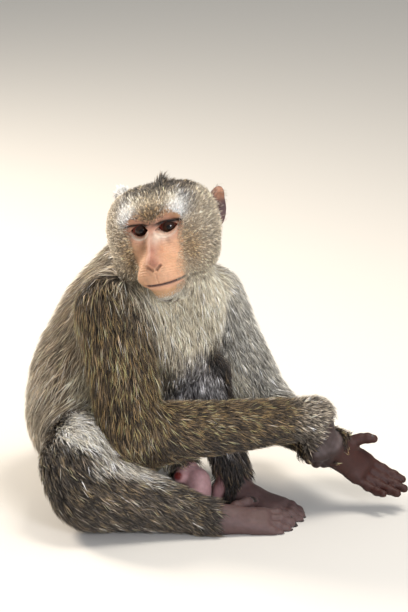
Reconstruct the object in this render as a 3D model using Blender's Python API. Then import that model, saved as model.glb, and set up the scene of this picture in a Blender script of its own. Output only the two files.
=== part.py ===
# A seated long-tailed macaque as a still, life-size model: trunk facing +X -Y, head turned to -Y.
# Metres, +Z up, floor at z = 0. Head, trunk, limbs, hands and feet are shaped whole as fields
# of signed distance, fitted to each other and then parted by thin cuts.
import math

import bmesh
import bpy
import numpy as np
from mathutils import Matrix, Vector

# Driving dimensions
EYE_SPACING = 0.0270  # between the pupils
EYE_RADIUS = 0.0100
HEAD_WIDTH = 0.116  # across the cheek ruffs
TRUNK_RADIUS = 0.079  # at the belly, coat included
WRIST_RADIUS = 0.0175
ANKLE_RADIUS = 0.0150
FINGER_RADIUS = 0.0047
TOE_RADIUS = 0.0046
TAIL_ROOT_RADIUS = 0.0135
TAIL_TIP_RADIUS = 0.0055
CUT = 0.0003  # gap left by each thin cut
FLAT = 0.0009  # what comes this near the floor rests on it
BODY_PITCH = 0.0027  # sampling steps of the fields
HEAD_PITCH = 0.0019
HAND_PITCH = 0.0013

# Space that the body's field fills
BOX = ((-0.200, -0.165, -0.012), (0.185, 0.258, 0.330))

# Joints and landmarks
EYES = Vector((-0.051, -0.058, 0.3015))
NECK_ROOT = Vector((-0.047, 0.020, 0.232))
PELVIS = Vector((-0.101, 0.042, 0.074))
NECK_CUT = (Vector((-0.048, 0.010, 0.246)), Vector((0.15, -0.35, 0.92)).normalized())
BELLY = Vector((-0.093, 0.040, 0.112))
RIBS = Vector((-0.076, 0.034, 0.166))
WITHERS = Vector((-0.057, 0.030, 0.209))
SHOULDER_R = Vector((-0.090, -0.032, 0.207))
ELBOW_R = Vector((-0.071, -0.076, 0.089))
WRIST_R = Vector((0.110, -0.048, 0.0985))
SHOULDER_L = Vector((0.004, 0.058, 0.188))
ELBOW_L = Vector((0.062, 0.060, 0.069))
WRIST_L = Vector((0.130, -0.042, 0.0634))
HIP_R = Vector((-0.112, -0.004, 0.060))
KNEE_R = Vector((-0.120, -0.088, 0.062))
CALF_R = Vector((-0.109, -0.106, 0.0450))
ANKLE_R = Vector((0.002, -0.106, 0.0165))
HIP_L = Vector((-0.070, 0.052, 0.060))
KNEE_L = Vector((0.001, -0.006, 0.1300))
ANKLE_L = Vector((0.031, -0.031, 0.024))
TAIL_ROUTE = (
    Vector((-0.150, 0.090, 0.034)),
    Vector((-0.159, 0.138, 0.0116)),
    Vector((-0.124, 0.202, 0.0102)),
    Vector((-0.035, 0.236, 0.0089)),
    Vector((0.048, 0.224, 0.0076)),
    Vector((0.088, 0.188, 0.0063)),
    Vector((0.060, 0.160, 0.0050)),
)

# Limbs: start, end and their radii with the coat on
LIMBS = {
    "upper_arm_right": (SHOULDER_R.lerp(ELBOW_R, 0.26), ELBOW_R, 0.0375, 0.0325),
    "upper_arm_left": (SHOULDER_L.lerp(ELBOW_L, 0.26), ELBOW_L, 0.0350, 0.0290),
    "forearm_right": (ELBOW_R, WRIST_R, 0.0325, 0.0205),
    "forearm_left": (ELBOW_L, WRIST_L, 0.0290, 0.0165),
    "thigh_right": (HIP_R, KNEE_R, 0.046, 0.0450),
    "thigh_left": (HIP_L, KNEE_L, 0.043, 0.0275),
    "shank_right": (CALF_R, ANKLE_R, 0.0460, 0.0150),
    "shank_left": (KNEE_L, ANKLE_L, 0.0270, 0.0175),
}

HEAD_YAW = math.radians(12)
HEAD_LIFT = math.radians(6)
HEAD_ROLL = math.radians(13.5)


def head_axes():
    face = Vector(
        (
            -math.sin(HEAD_YAW) * math.cos(HEAD_LIFT),
            -math.cos(HEAD_YAW) * math.cos(HEAD_LIFT),
            math.sin(HEAD_LIFT),
        )
    )
    level = Vector((math.cos(HEAD_YAW), -math.sin(HEAD_YAW), 0))
    up = level.cross(face).normalized()
    if up.z < 0:
        up = -up
    left = math.cos(HEAD_ROLL) * level + math.sin(HEAD_ROLL) * up
    crown = math.cos(HEAD_ROLL) * up - math.sin(HEAD_ROLL) * level
    return left, face, crown


LEFT, FACE, CROWN = head_axes()


def ramp(value, low, high):
    share = min(max((value - low) / (high - low), 0.0), 1.0)
    return share * share * (3 - 2 * share)


# A point of the head: millimetres to its left, ahead of the eyes and above them. The muzzle
# stands a little to the left of the head's own middle, and the brow hangs a little below it
def head_point(left, ahead, above):
    front = ramp(ahead, -35, -15)
    left += front * (1.0 + 4.0 * ramp(-above, 5, 60))
    above -= front * 2.6 * ramp(above, -36, -12) * ramp(-above, -20, -8)
    return EYES + (LEFT * left + FACE * ahead + CROWN * above) / 1000


def blended(a, b, width):
    if np.all(np.asarray(width) <= 0):
        return np.minimum(a, b)
    width = np.maximum(width, 1e-6)
    mix = np.clip(0.5 + 0.5 * (a - b) / width, 0, 1)
    return a + (b - a) * mix - width * mix * (1 - mix)


# Signed distances sampled on a regular grid; each shape is blended into the ones before it
class Field:
    def __init__(self, low, high, pitch):
        self.low = np.array(low, float)
        self.pitch = pitch
        count = np.ceil((np.array(high) - self.low) / pitch).astype(int) + 1
        self.axes = [self.low[i] + pitch * np.arange(count[i]) for i in range(3)]
        self.value = np.full(count, 0.05)

    def window(self, points, reach):
        points = np.array([tuple(p) for p in points])
        cuts = []
        for i in range(3):
            first = math.floor((points[:, i].min() - reach - self.low[i]) / self.pitch)
            last = math.ceil((points[:, i].max() + reach - self.low[i]) / self.pitch)
            cuts.append(slice(max(first, 0), max(last, 0) + 1))
        grid = np.meshgrid(*(self.axes[i][cuts[i]] for i in range(3)), indexing="ij")
        return tuple(cuts), grid

    def blend(self, cuts, distance, width, carve):
        if distance.size == 0:
            return
        old = self.value[cuts]
        self.value[cuts] = -blended(-old, distance, width) if carve else blended(old, distance, width)

    # A limb: a rod between two points, its radius changing evenly, thinned along one direction
    def rod(self, start, end, start_radius, end_radius, width=0.006, thin=None, share=1.0, carve=False):
        reach = max(start_radius, end_radius) + 2 * width + 4 * self.pitch
        cuts, (x, y, z) = self.window((start, end), reach)
        run = end - start
        length = max(run.length_squared, 1e-12)
        dx, dy, dz = x - start.x, y - start.y, z - start.z
        along = np.clip((dx * run.x + dy * run.y + dz * run.z) / length, 0, 1)
        dx, dy, dz = dx - along * run.x, dy - along * run.y, dz - along * run.z
        squared = dx * dx + dy * dy + dz * dz
        if thin is not None:
            part = dx * thin.x + dy * thin.y + dz * thin.z
            squared = squared + part * part * (1 / share**2 - 1)
        radius = start_radius + along * (end_radius - start_radius)
        self.blend(cuts, np.sqrt(squared) - radius, width, carve)

    # An egg with its own three directions and radii
    def egg(self, centre, radii, axes=None, width=0.008, carve=False):
        axes = axes or (Vector((1, 0, 0)), Vector((0, 1, 0)), Vector((0, 0, 1)))
        cuts, (x, y, z) = self.window((centre,), max(radii) + 2 * width + 4 * self.pitch)
        dx, dy, dz = x - centre.x, y - centre.y, z - centre.z
        near = np.zeros_like(dx)
        slope = np.zeros_like(dx)
        for axis, radius in zip(axes, radii):
            part = (dx * axis.x + dy * axis.y + dz * axis.z) / radius
            near += part * part
            slope += (part / radius) ** 2
        near = np.sqrt(near)
        self.blend(cuts, near * (near - 1) / np.maximum(np.sqrt(slope), 1e-9), width, carve)

    # Join another field made on the same grid; the blend fades out away from the joint
    def join(self, other, width, joint, reach):
        x, y, z = np.meshgrid(*self.axes, indexing="ij", sparse=True)
        away = np.sqrt((x - joint.x) ** 2 + (y - joint.y) ** 2 + (z - joint.z) ** 2)
        self.value = blended(self.value, other.value, width * np.clip(1.5 - away / reach, 0, 1))

    def floor(self, level=0.0):
        height = self.axes[2][None, None, :]
        self.value = np.maximum(self.value, level - height)

    # Fill the corners where two sheets of the surface would touch, so that it stays one closed skin
    def seal(self):
        touch = -0.02 * self.pitch
        while True:
            inside = self.value < 0
            fill = np.zeros_like(inside)
            for u, v in ((0, 1), (0, 2), (1, 2)):
                sides = []
                for du, dv in ((0, 0), (1, 0), (0, 1), (1, 1)):
                    cut = [slice(None)] * 3
                    cut[u] = slice(1, None) if du else slice(0, -1)
                    cut[v] = slice(1, None) if dv else slice(0, -1)
                    sides.append(tuple(cut))
                a, b, c, d = (inside[s] for s in sides)
                twisted = (a == d) & (b == c) & (a != b)
                for s in sides:
                    fill[s] |= twisted
            ends = [(slice(0, -1), slice(1, None))[i] for i in (0, 1)]
            for j in (0, 1):
                for k in (0, 1):
                    one = (ends[0], ends[j], ends[k])
                    two = (ends[1], ends[1 - j], ends[1 - k])
                    total = sum(
                        inside[x, y, z].astype(np.int8) for x in ends for y in ends for z in ends
                    )
                    apart = (inside[one] == inside[two]) & (
                        ((total == 2) & inside[one]) | ((total == 6) & ~inside[one])
                    )
                    for x in ends:
                        for y in ends:
                            for z in ends:
                                fill[x, y, z] |= apart
            fill &= ~inside
            if not fill.any():
                return
            self.value[fill] = touch

    # The zero surface: one point in each cell that it crosses, one quad about each crossed edge
    def surface(self):
        self.seal()
        value = self.value
        inside = value < 0
        corners = [(i, j, k) for i in (0, 1) for j in (0, 1) for k in (0, 1)]
        shape = tuple(n - 1 for n in value.shape)

        def corner(array, c):
            return array[c[0] : c[0] + shape[0], c[1] : c[1] + shape[1], c[2] : c[2] + shape[2]]

        total = sum(corner(inside, c).astype(np.int8) for c in corners)
        cells = np.argwhere((total > 0) & (total < 8))
        number = np.full(shape, -1)
        number[tuple(cells.T)] = np.arange(len(cells))
        at = [value[tuple((cells + c).T)] for c in corners]
        points = np.zeros((len(cells), 3))
        hits = np.zeros(len(cells))
        for a, ca in enumerate(corners):
            for b, cb in enumerate(corners):
                step = np.subtract(cb, ca)
                if b <= a or np.abs(step).sum() != 1:
                    continue
                crossed = (at[a] < 0) != (at[b] < 0)
                share = np.where(crossed, at[a] / np.where(crossed, at[a] - at[b], 1), 0)
                points += crossed[:, None] * (np.array(ca) + share[:, None] * step)
                hits += crossed
        points = self.low + self.pitch * (cells + points / hits[:, None])
        quads = []
        for axis in range(3):
            ahead = np.roll(inside, -1, axis)
            change = inside != ahead
            index = [slice(1, -1)] * 3
            index[axis] = slice(0, -1)
            spots = np.argwhere(change[tuple(index)]) + [int(s.start) for s in index]
            u, v = (axis + 1) % 3, (axis + 2) % 3
            ring = []
            for du, dv in ((-1, -1), (0, -1), (0, 0), (-1, 0)):
                move = np.zeros(3, int)
                move[u], move[v] = du, dv
                ring.append(number[tuple((spots + move).T)])
            ring = np.stack(ring, 1)
            flip = ~inside[tuple(spots.T)]
            ring[flip] = ring[flip][:, ::-1]
            quads.append(ring)
        return points, np.concatenate(quads)


def clear_scene():
    for old in list(bpy.data.objects):
        bpy.data.objects.remove(old, do_unlink=True)


def material(name, colour, roughness):
    made = bpy.data.materials.new(name)
    made.use_nodes = True
    shader = made.node_tree.nodes["Principled BSDF"]
    shader.inputs["Base Color"].default_value = (*colour, 1)
    shader.inputs["Roughness"].default_value = roughness
    made.diffuse_color = (*colour, 1)
    return made


def add_object(name, mesh):
    made = bpy.data.objects.new(name, mesh)
    bpy.context.scene.collection.objects.link(made)
    return made


def object_from(name, points, faces, turn_out=False):
    mesh = bpy.data.meshes.new(name)
    mesh.from_pydata([tuple(p) for p in points], [], [tuple(int(i) for i in f) for f in faces])
    mesh.update()
    if turn_out:
        work = bmesh.new()
        work.from_mesh(mesh)
        bmesh.ops.recalc_face_normals(work, faces=work.faces)
        work.to_mesh(mesh)
        work.free()
    return add_object(name, mesh)


# Apply the modifiers: the object's mesh becomes its evaluated mesh
def settle(made):
    evaluated = made.evaluated_get(bpy.context.evaluated_depsgraph_get())
    mesh = bpy.data.meshes.new_from_object(evaluated)
    made.modifiers.clear()
    made.data = mesh
    return made


def thinned(made, triangles):
    now = sum(len(p.vertices) - 2 for p in made.data.polygons)
    step = made.modifiers.new("thin", "DECIMATE")
    step.ratio = min(1.0, triangles / now)
    step.use_collapse_triangulate = True
    return settle(made)


# The mesh of a field, smoothed and thinned; what reaches the floor gets a flat exactly on it
def field_object(name, field, triangles, smooth=2):
    made = object_from(name, *field.surface())
    step = made.modifiers.new("smooth", "SMOOTH")
    step.factor = 0.5
    step.iterations = smooth
    thinned(settle(made), triangles)
    for vert in made.data.vertices:
        if vert.co.z < FLAT:
            vert.co.z = 0
    return made


def combine(made, cutter, operation):
    step = made.modifiers.new("cut", "BOOLEAN")
    step.operation = operation
    step.solver = "EXACT"
    step.object = cutter
    return settle(made)


def copy_of(made, name):
    return add_object(name, made.data.copy())


def discard(made):
    bpy.data.objects.remove(made, do_unlink=True)


# A cutting cell: a rounded barrel about a limb, ended by a plane at each joint
def barrel(start, end, start_radius, end_radius, start_normal, end_normal, grow=0.0, sides=12):
    run = (end - start).normalized()
    side = run.orthogonal().normalized()
    other = run.cross(side)
    points, faces = [], []
    rings = ((start, start_normal, start_radius), (end, end_normal, end_radius))
    for spot, normal, radius in rings:
        normal = normal.normalized()
        if normal.dot(run) < 0:
            normal = -normal
        base = spot + run * grow * (-1 if spot is start else 1) / normal.dot(run)
        for n in range(sides):
            turn = 2 * math.pi * n / sides
            arm = (side * math.cos(turn) + other * math.sin(turn)) * (radius + grow)
            arm -= run * (arm.dot(normal) / run.dot(normal))
            points.append(base + arm)
    for n in range(sides):
        m = (n + 1) % sides
        faces.append((n, m, sides + m, sides + n))
    faces.append(tuple(reversed(range(sides))))
    faces.append(tuple(range(sides, 2 * sides)))
    return object_from("cell", points, faces, turn_out=True)


# A cutting cell with flat sides: everything on the far side of a plane, out to a given size
def slab(spot, normal, size, depth, grow=0.0):
    normal = normal.normalized()
    side = normal.orthogonal().normalized()
    other = normal.cross(side)
    near = spot - normal * grow
    far = spot + normal * (depth + grow)
    reach = size / 2 + grow
    signs = ((-1, -1), (1, -1), (1, 1), (-1, 1))
    points = [level + side * reach * a + other * reach * b for level in (near, far) for a, b in signs]
    faces = [(3, 2, 1, 0), (4, 5, 6, 7), (0, 1, 5, 4), (1, 2, 6, 5), (2, 3, 7, 6), (3, 0, 4, 7)]
    return object_from("cell", points, faces, turn_out=True)


def loose_parts(mesh):
    work = bmesh.new()
    work.from_mesh(mesh)
    left = set(work.verts)
    sizes = []
    while left:
        stack = [left.pop()]
        found = [stack[0]]
        while stack:
            for edge in stack.pop().link_edges:
                for vert in edge.verts:
                    if vert in left:
                        left.discard(vert)
                        stack.append(vert)
                        found.append(vert)
        sizes.append([v.index for v in found])
    work.free()
    return sorted(sizes, key=len, reverse=True)


def keep_largest(made):
    parts = loose_parts(made.data)
    if len(parts) > 1:
        work = bmesh.new()
        work.from_mesh(made.data)
        work.verts.ensure_lookup_table()
        drop = [work.verts[i] for part in parts[1:] for i in part]
        print(made.name, "drops", [len(part) for part in parts[1:]], "of", len(parts[0]))
        bmesh.ops.delete(work, geom=drop, context="VERTS")
        work.to_mesh(made.data)
        work.free()
    return made


# Grow a closed mesh evenly, for cutting its neighbours clear of it
def grown_copy(made, by=CUT):
    grown = copy_of(made, "grown")
    step = grown.modifiers.new("grow", "DISPLACE")
    step.strength = by * 1.2
    step.mid_level = 0
    return settle(grown)


# Part one node off a body: what lies in the cell becomes the node, the rest stays CUT away
def part_off(body, name, cell, grown):
    node = combine(copy_of(body, name), cell, "INTERSECT")
    combine(body, grown, "DIFFERENCE")
    discard(cell)
    discard(grown)
    keep_largest(body)
    return keep_largest(node)


def part_limb(body, name, *shape):
    return part_off(body, name, barrel(*shape), barrel(*shape, grow=CUT))


def part_beyond(body, name, *shape):
    return part_off(body, name, slab(*shape), slab(*shape, grow=CUT))


# A whole limb: its two lengths blended at the bend
def limb_object(name, triangles, *lengths):
    field = Field(*BOX, BODY_PITCH)
    for length in lengths:
        field.rod(*LIMBS[length], 0.010)
    field.floor()
    return field_object(name, field, triangles)


# Trunk and tail, with the shoulders and hips that the limbs leave from
def body_field():
    trunk = Field(*BOX, BODY_PITCH)
    trunk.egg(PELVIS, (TRUNK_RADIUS, TRUNK_RADIUS * 0.98, TRUNK_RADIUS * 0.96), width=0.02)
    trunk.rod(PELVIS, BELLY, TRUNK_RADIUS * 0.97, TRUNK_RADIUS, 0.02)
    trunk.rod(BELLY, RIBS, TRUNK_RADIUS, TRUNK_RADIUS * 0.90, 0.02)
    trunk.rod(RIBS, WITHERS, TRUNK_RADIUS * 0.87, TRUNK_RADIUS * 0.74, 0.02)
    trunk.rod(WITHERS, NECK_ROOT, 0.055, 0.046, 0.02)
    trunk.rod(NECK_ROOT, head_point(0, -62, -22), 0.046, 0.042, 0.02)
    trunk.rod(NECK_ROOT + Vector((0.022, -0.018, -0.03)), head_point(0, -34, -52), 0.045, 0.030, 0.02)
    trunk.rod(SHOULDER_R, SHOULDER_L, 0.041, 0.040, 0.025)
    chest = (SHOULDER_R + SHOULDER_L) / 2 + Vector((0.009, -0.013, -0.036))
    trunk.egg(chest, (0.053, 0.054, 0.053), width=0.022)
    for hip, knee in ((HIP_R, KNEE_R), (HIP_L, KNEE_L)):
        trunk.egg(hip, (0.048, 0.048, 0.050), width=0.02)
        trunk.rod(hip, hip.lerp(knee, 0.45), 0.047, 0.044, 0.016)
    trunk.rod(TAIL_ROUTE[0] + Vector((0.02, -0.03, 0.01)), TAIL_ROUTE[0], 0.024, 0.017, 0.02)

    tail = Field(*BOX, BODY_PITCH)
    spots = tail_line()
    for n in range(len(spots) - 1):
        tail.rod(spots[n][0], spots[n + 1][0], spots[n][1], spots[n + 1][1], 0.002)

    trunk.join(tail, 0.010, TAIL_ROUTE[0], 0.03)
    trunk.floor()
    return trunk


# The tail's line: a smooth curve through its landmarks, as spots with their radii
def tail_line():
    knots = TAIL_ROUTE
    spots = []
    steps = 6
    for n in range(len(knots) - 1):
        before = knots[max(n - 1, 0)]
        after = knots[min(n + 2, len(knots) - 1)]
        a, b = knots[n], knots[n + 1]
        for s in range(steps):
            t = s / steps
            bend = (b - before) * 0.5 * (t**3 - 2 * t**2 + t) + (after - a) * 0.5 * (t**3 - t**2)
            spots.append(a * (2 * t**3 - 3 * t**2 + 1) + b * (3 * t**2 - 2 * t**3) + bend)
    spots.append(knots[-1])
    span = len(spots) - 1
    grades = [TAIL_ROOT_RADIUS + (TAIL_TIP_RADIUS - TAIL_ROOT_RADIUS) * n / span for n in range(span + 1)]
    return list(zip(spots, grades))


# Head: a broad low skull with cheek ruffs, a straight brow ridge and a long square muzzle
def head_field():
    centre = head_point(0, -35, -12)
    low, high = Vector((0.078, 0.100, 0.078)), Vector((0.078, 0.085, 0.072))
    field = Field(centre - low, centre + high, HEAD_PITCH)
    axes = (LEFT, FACE, CROWN)
    half = HEAD_WIDTH * 500
    field.egg(head_point(0, -50, -7), (0.049, 0.057, 0.041), axes, 0.012)
    for side in (-1, 1):
        field.egg(head_point(side * 24, -46, 8), (0.026, 0.036, 0.022), axes, 0.015)
        field.egg(head_point(side * (half - 27), -38, -18), (0.027, 0.032, 0.036), axes, 0.020)
        field.egg(head_point(side * (half - 33), -24, -42), (0.025, 0.028, 0.019), axes, 0.018)
        field.egg(head_point(side * 20, -14, -24), (0.015, 0.016, 0.019), axes, 0.014)
    field.rod(head_point(0, -66, -28), NECK_ROOT, 0.044, 0.050, 0.016)
    field.rod(head_point(0, -34, -48), NECK_ROOT + Vector((0.022, -0.018, -0.03)), 0.026, 0.043, 0.016)
    field.rod(head_point(-25, -8, 9.5), head_point(25, -8, 9.5), 0.0075, 0.0075, 0.014)
    field.rod(head_point(0, -14, -4), head_point(0, -8, -36), 0.016, 0.021, 0.012)
    for side in (-1, 1):
        field.egg(head_point(side * 14.5, 4, -1.5), (0.0125, 0.0125, 0.0085), axes, 0.006, carve=True)
        field.rod(head_point(side * 14, 0, -15), head_point(side * 20, -4, -12), 0.007, 0.006, 0.010)
    field.rod(head_point(0, 0, 0), head_point(0, 29, -29), 0.0066, 0.0065, 0.009)
    field.rod(head_point(0, -2, -37), head_point(0, 25, -41), 0.0215, 0.0150, 0.010, CROWN, 0.88)
    field.egg(head_point(0, 15, -47), (0.0245, 0.027, 0.0135), axes, 0.010)
    field.egg(head_point(0, 33, -33), (0.0085, 0.0065, 0.0055), axes, 0.006)
    field.rod(head_point(0, -4, -60), head_point(0, 20, -62), 0.0180, 0.0115, 0.008, CROWN, 0.85)
    field.rod(head_point(5, -40, 29), head_point(8, -46, 43), 0.010, 0.0035, 0.010)
    return field


# Ear: a shell with a rolled rim; the tip and the lobe are given in the head's directions
def ear(name, tip, lobe, colour):
    top, bottom = head_point(*tip), head_point(*lobe)
    side = LEFT if tip[0] > 0 else -LEFT
    centre = (top + bottom) / 2 - side * 0.002
    tall = (top - bottom).normalized()
    out = side * 0.88 + FACE * 0.48
    wide = tall.cross(out).normalized()
    out = wide.cross(tall).normalized()
    half = (top - bottom).length / 2
    reach = Vector((0.034, 0.034, 0.034))
    field = Field(centre - reach, centre + reach, 0.0011)
    axes = (wide, tall, out)
    field.egg(centre, (0.0132, half * 0.97, 0.0065), axes, 0.001)
    field.egg(centre + tall * half * 0.78 + side * 0.003, (0.0060, half * 0.34, 0.0040), axes, 0.006)
    field.egg(centre + out * 0.0052, (0.0098, half * 0.82, 0.0058), axes, 0.002, carve=True)
    made = field_object(name, field, 180, smooth=1)
    made.data.materials.append(colour)
    return made


def eye(name, side, colour):
    mesh = bpy.data.meshes.new(name)
    work = bmesh.new()
    bmesh.ops.create_icosphere(work, subdivisions=2, radius=EYE_RADIUS)
    place = Matrix.Translation(head_point(side * EYE_SPACING * 500, -EYE_RADIUS * 1000, -1.0 - 0.5 * side))
    bmesh.ops.transform(work, matrix=place, verts=work.verts)
    work.to_mesh(mesh)
    work.free()
    mesh.materials.append(colour)
    return add_object(name, mesh)


# One digit: a chain of tapering rods that curls toward the palm
def digit(field, root, along, palmward, lengths, curls, radius):
    spot, heading = root.copy(), along.normalized()
    palmward = (palmward - heading * palmward.dot(heading)).normalized()
    for n, (length, curl) in enumerate(zip(lengths, curls)):
        turn = math.radians(curl)
        heading, palmward = (
            heading * math.cos(turn) + palmward * math.sin(turn),
            palmward * math.cos(turn) - heading * math.sin(turn),
        )
        ahead = spot + heading * length
        field.rod(spot, ahead, radius * (1.05 - 0.05 * n), radius * (0.98 - 0.07 * n), 0.0018)
        spot = ahead
    return spot


# Hand: palm and five digits. along runs wrist to knuckles, back points out of its back
def hand_field(wrist, arm_from, along, back, thumb_side, curls, thumb_way, thumb_curls):
    along = along.normalized()
    back = (back - along * back.dot(along)).normalized()
    thumbward = along.cross(back) * thumb_side
    reach = Vector((0.095, 0.095, 0.095))
    middle = wrist + along * 0.035
    field = Field(middle - reach, middle + reach, HAND_PITCH)
    up_arm = wrist + (arm_from - wrist).normalized() * 0.03
    field.rod(up_arm, wrist, WRIST_RADIUS + 0.003, WRIST_RADIUS, 0.004)
    field.rod(wrist, wrist + along * 0.012, WRIST_RADIUS, 0.0145, 0.008, back, 0.86)
    for offset in (-0.0074, 0.0, 0.0074):
        near = wrist + along * 0.006 + thumbward * offset * 0.7
        far = wrist + along * 0.035 + thumbward * offset * 1.30
        field.rod(near, far, 0.0096, 0.0082, 0.008, back, 0.9)
    fingers = (
        (0.0119, 0.0360, (0.0180, 0.0125, 0.0098), 0.05),
        (0.0042, 0.0385, (0.0200, 0.0142, 0.0102), 0.02),
        (-0.0038, 0.0375, (0.0190, 0.0134, 0.0100), -0.03),
        (-0.0116, 0.0342, (0.0155, 0.0108, 0.0090), -0.09),
    )
    for n, (offset, ahead, lengths, spread) in enumerate(fingers):
        root = wrist + along * ahead + thumbward * offset
        heading = along + thumbward * spread
        bends = [c + 4 * (n - 1.5) for c in curls]
        digit(field, root - along * 0.008, along, -back, (0.008,), (0,), FINGER_RADIUS * 1.15)
        digit(field, root, heading, -back, lengths, bends, FINGER_RADIUS * (1.0 if n < 3 else 0.9))
    root = wrist + along * 0.009 + thumbward * 0.010 - back * 0.004
    heading = (along * thumb_way[0] + thumbward * thumb_way[1] - back * thumb_way[2]).normalized()
    field.rod(root, root + heading * 0.010, 0.0084, 0.0062, 0.005)
    start = root + heading * 0.008
    digit(field, start, heading, along - back * 0.3, (0.0072, 0.0066, 0.0062), thumb_curls, 0.0050)
    return field


# Foot: heel, sole and five toes, the big toe set back and standing off like a thumb
def foot_field(heel, leg, along, top, big_side, curls):
    along = along.normalized()
    top = (top - along * top.dot(along)).normalized()
    inward = along.cross(top) * big_side
    reach = Vector((0.085, 0.085, 0.085))
    middle = heel + along * 0.05
    field = Field(middle - reach, middle + reach, HAND_PITCH)
    field.egg(heel, (0.013, 0.013, 0.0125), width=0.004)
    field.rod(leg[0], leg[1], leg[2], leg[3], 0.008)
    field.rod(leg[1], heel + along * 0.016, ANKLE_RADIUS, 0.0125, 0.006)
    field.rod(heel, heel + along * 0.030 + top * 0.002, 0.0125, 0.0120, 0.008, top, 0.95)
    for offset in (-0.008, 0.0, 0.0075):
        near = heel + along * 0.018 + inward * offset * 0.6
        far = heel + along * 0.060 + inward * offset * 1.25 - top * 0.003
        field.rod(near, far, 0.0105, 0.0076, 0.008, top, 0.9)
    toes = (
        (0.0125, 0.0610, (0.013, 0.010, 0.0085), 0.08),
        (0.0045, 0.0630, (0.014, 0.011, 0.0085), 0.02),
        (-0.0040, 0.0610, (0.013, 0.010, 0.0080), -0.05),
        (-0.0120, 0.0570, (0.011, 0.009, 0.0075), -0.12),
    )
    for offset, ahead, lengths, spread in toes:
        root = heel + along * ahead + inward * offset - top * 0.003
        digit(field, root - along * 0.008, along, -top, (0.008,), (0,), TOE_RADIUS * 1.1)
        digit(field, root, along + inward * spread, -top, lengths, curls, TOE_RADIUS)
    root = heel + along * 0.022 + inward * 0.010 - top * 0.001
    digit(field, root, along * 0.8 + inward * 0.62, -top, (0.016, 0.013, 0.011), (0, 8, 14), 0.0056)
    field.floor()
    return field


def clear_of(made, *others):
    for other in others:
        grown = grown_copy(other)
        combine(made, grown, "DIFFERENCE")
        discard(grown)
    return keep_largest(made)


def drop_beyond(made, *shape):
    cell = slab(*shape)
    combine(made, cell, "DIFFERENCE")
    discard(cell)
    return keep_largest(made)


def bisector(before, joint, after):
    return ((joint - before).normalized() + (after - joint).normalized()).normalized()


def build_head():
    head = field_object("head", head_field(), 820)
    spot, up = NECK_CUT
    drop_beyond(head, spot, -up, 0.30, 0.20)
    eyes = [eye("eye_right", -1, paint["eye"]), eye("eye_left", 1, paint["eye"])]
    for ball in eyes:
        clear_of(head, ball)
    ears = [
        ear("ear_right", (-39, -66, 30), (-46, -62, -8), paint["ear_skin"]),
        ear("ear_left", (57, -64, 15.5), (50.5, -60, -23), paint["ear_skin"]),
    ]
    for shell in ears:
        clear_of(shell, head)
    return head, eyes, ears


def part_head(head):
    lips = head_point(0, 26, -52)
    fall = (head_point(0, 0, -49) - head_point(0, 42, -53)).cross(LEFT).normalized()
    fall = fall if fall.dot(CROWN) < 0 else -fall
    jaw = part_beyond(head, "jaw", lips, fall, 0.070, 0.040)
    base, end = head_point(0, 3, -28), head_point(0, 60, -34)
    muzzle = part_limb(head, "muzzle", base, end, 0.034, 0.036, FACE, FACE)
    return jaw, muzzle


# The right leg lies folded on its outer side and the left one stands with the knee raised.
# The right forearm crosses in front of that knee and the left one reaches forward.
def build_limbs():
    arm_right = limb_object("upper_arm_right", 330, "upper_arm_right", "forearm_right")
    arm_left = limb_object("upper_arm_left", 340, "upper_arm_left", "forearm_left")
    leg_right = limb_object("thigh_right", 330, "thigh_right", "shank_right")
    leg_left = limb_object("thigh_left", 340, "thigh_left", "shank_left")
    clear_of(leg_right, arm_right)
    clear_of(leg_left, arm_right, arm_left, leg_right)
    return arm_right, arm_left, leg_right, leg_left


def build_body(head, limbs):
    body = field_object("pelvis", body_field(), 740)
    spot, up = NECK_CUT
    cell = barrel(spot, spot + up * 0.08, 0.056, 0.080, up, up)
    combine(body, cell, "DIFFERENCE")
    discard(cell)
    clear_of(body, head, *limbs)
    return body


# Where a limb ends and its hand or foot begins: a spot on its axis and the way along it
def limb_end(name):
    start, end = LIMBS[name][:2]
    run = (end - start).normalized()
    return end - run * (0.002 if name == "shank_right" else 0.006), run


def part_limbs(arm_right, arm_left, leg_right, leg_left):
    plans = (
        (arm_right, "forearm_right", SHOULDER_R, ELBOW_R, WRIST_R),
        (arm_left, "forearm_left", SHOULDER_L, ELBOW_L, WRIST_L),
        (leg_right, "shank_right", HIP_R, KNEE_R.lerp(CALF_R, 0.5), ANKLE_R),
        (leg_left, "shank_left", HIP_L, KNEE_L, ANKLE_L),
    )
    for limb, name, before, joint, after in plans:
        drop_beyond(limb, *limb_end(name), 0.4, 0.4)
        part_beyond(limb, name, joint, bisector(before, joint, after), 0.4, 0.4)


def part_tail(body):
    spots = [s[0] for s in tail_line()]
    for n, k in ((5, 29), (4, 22), (3, 15), (2, 8), (1, 1)):
        run = spots[k + 1] - spots[k - 1]
        part_beyond(body, f"tail_{n}", spots[k], run, 0.11, 0.11)


def part_trunk(body):
    part_beyond(body, "neck", NECK_ROOT, Vector((0.25, -0.30, 0.92)), 0.30, 0.10)
    part_beyond(body, "chest", RIBS - Vector((0, 0, 0.016)), Vector((0.05, -0.08, 1)), 0.40, 0.15)
    part_beyond(body, "belly", PELVIS + Vector((0, 0, 0.022)), Vector((0.05, -0.08, 1)), 0.40, 0.15)
    return body


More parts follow.
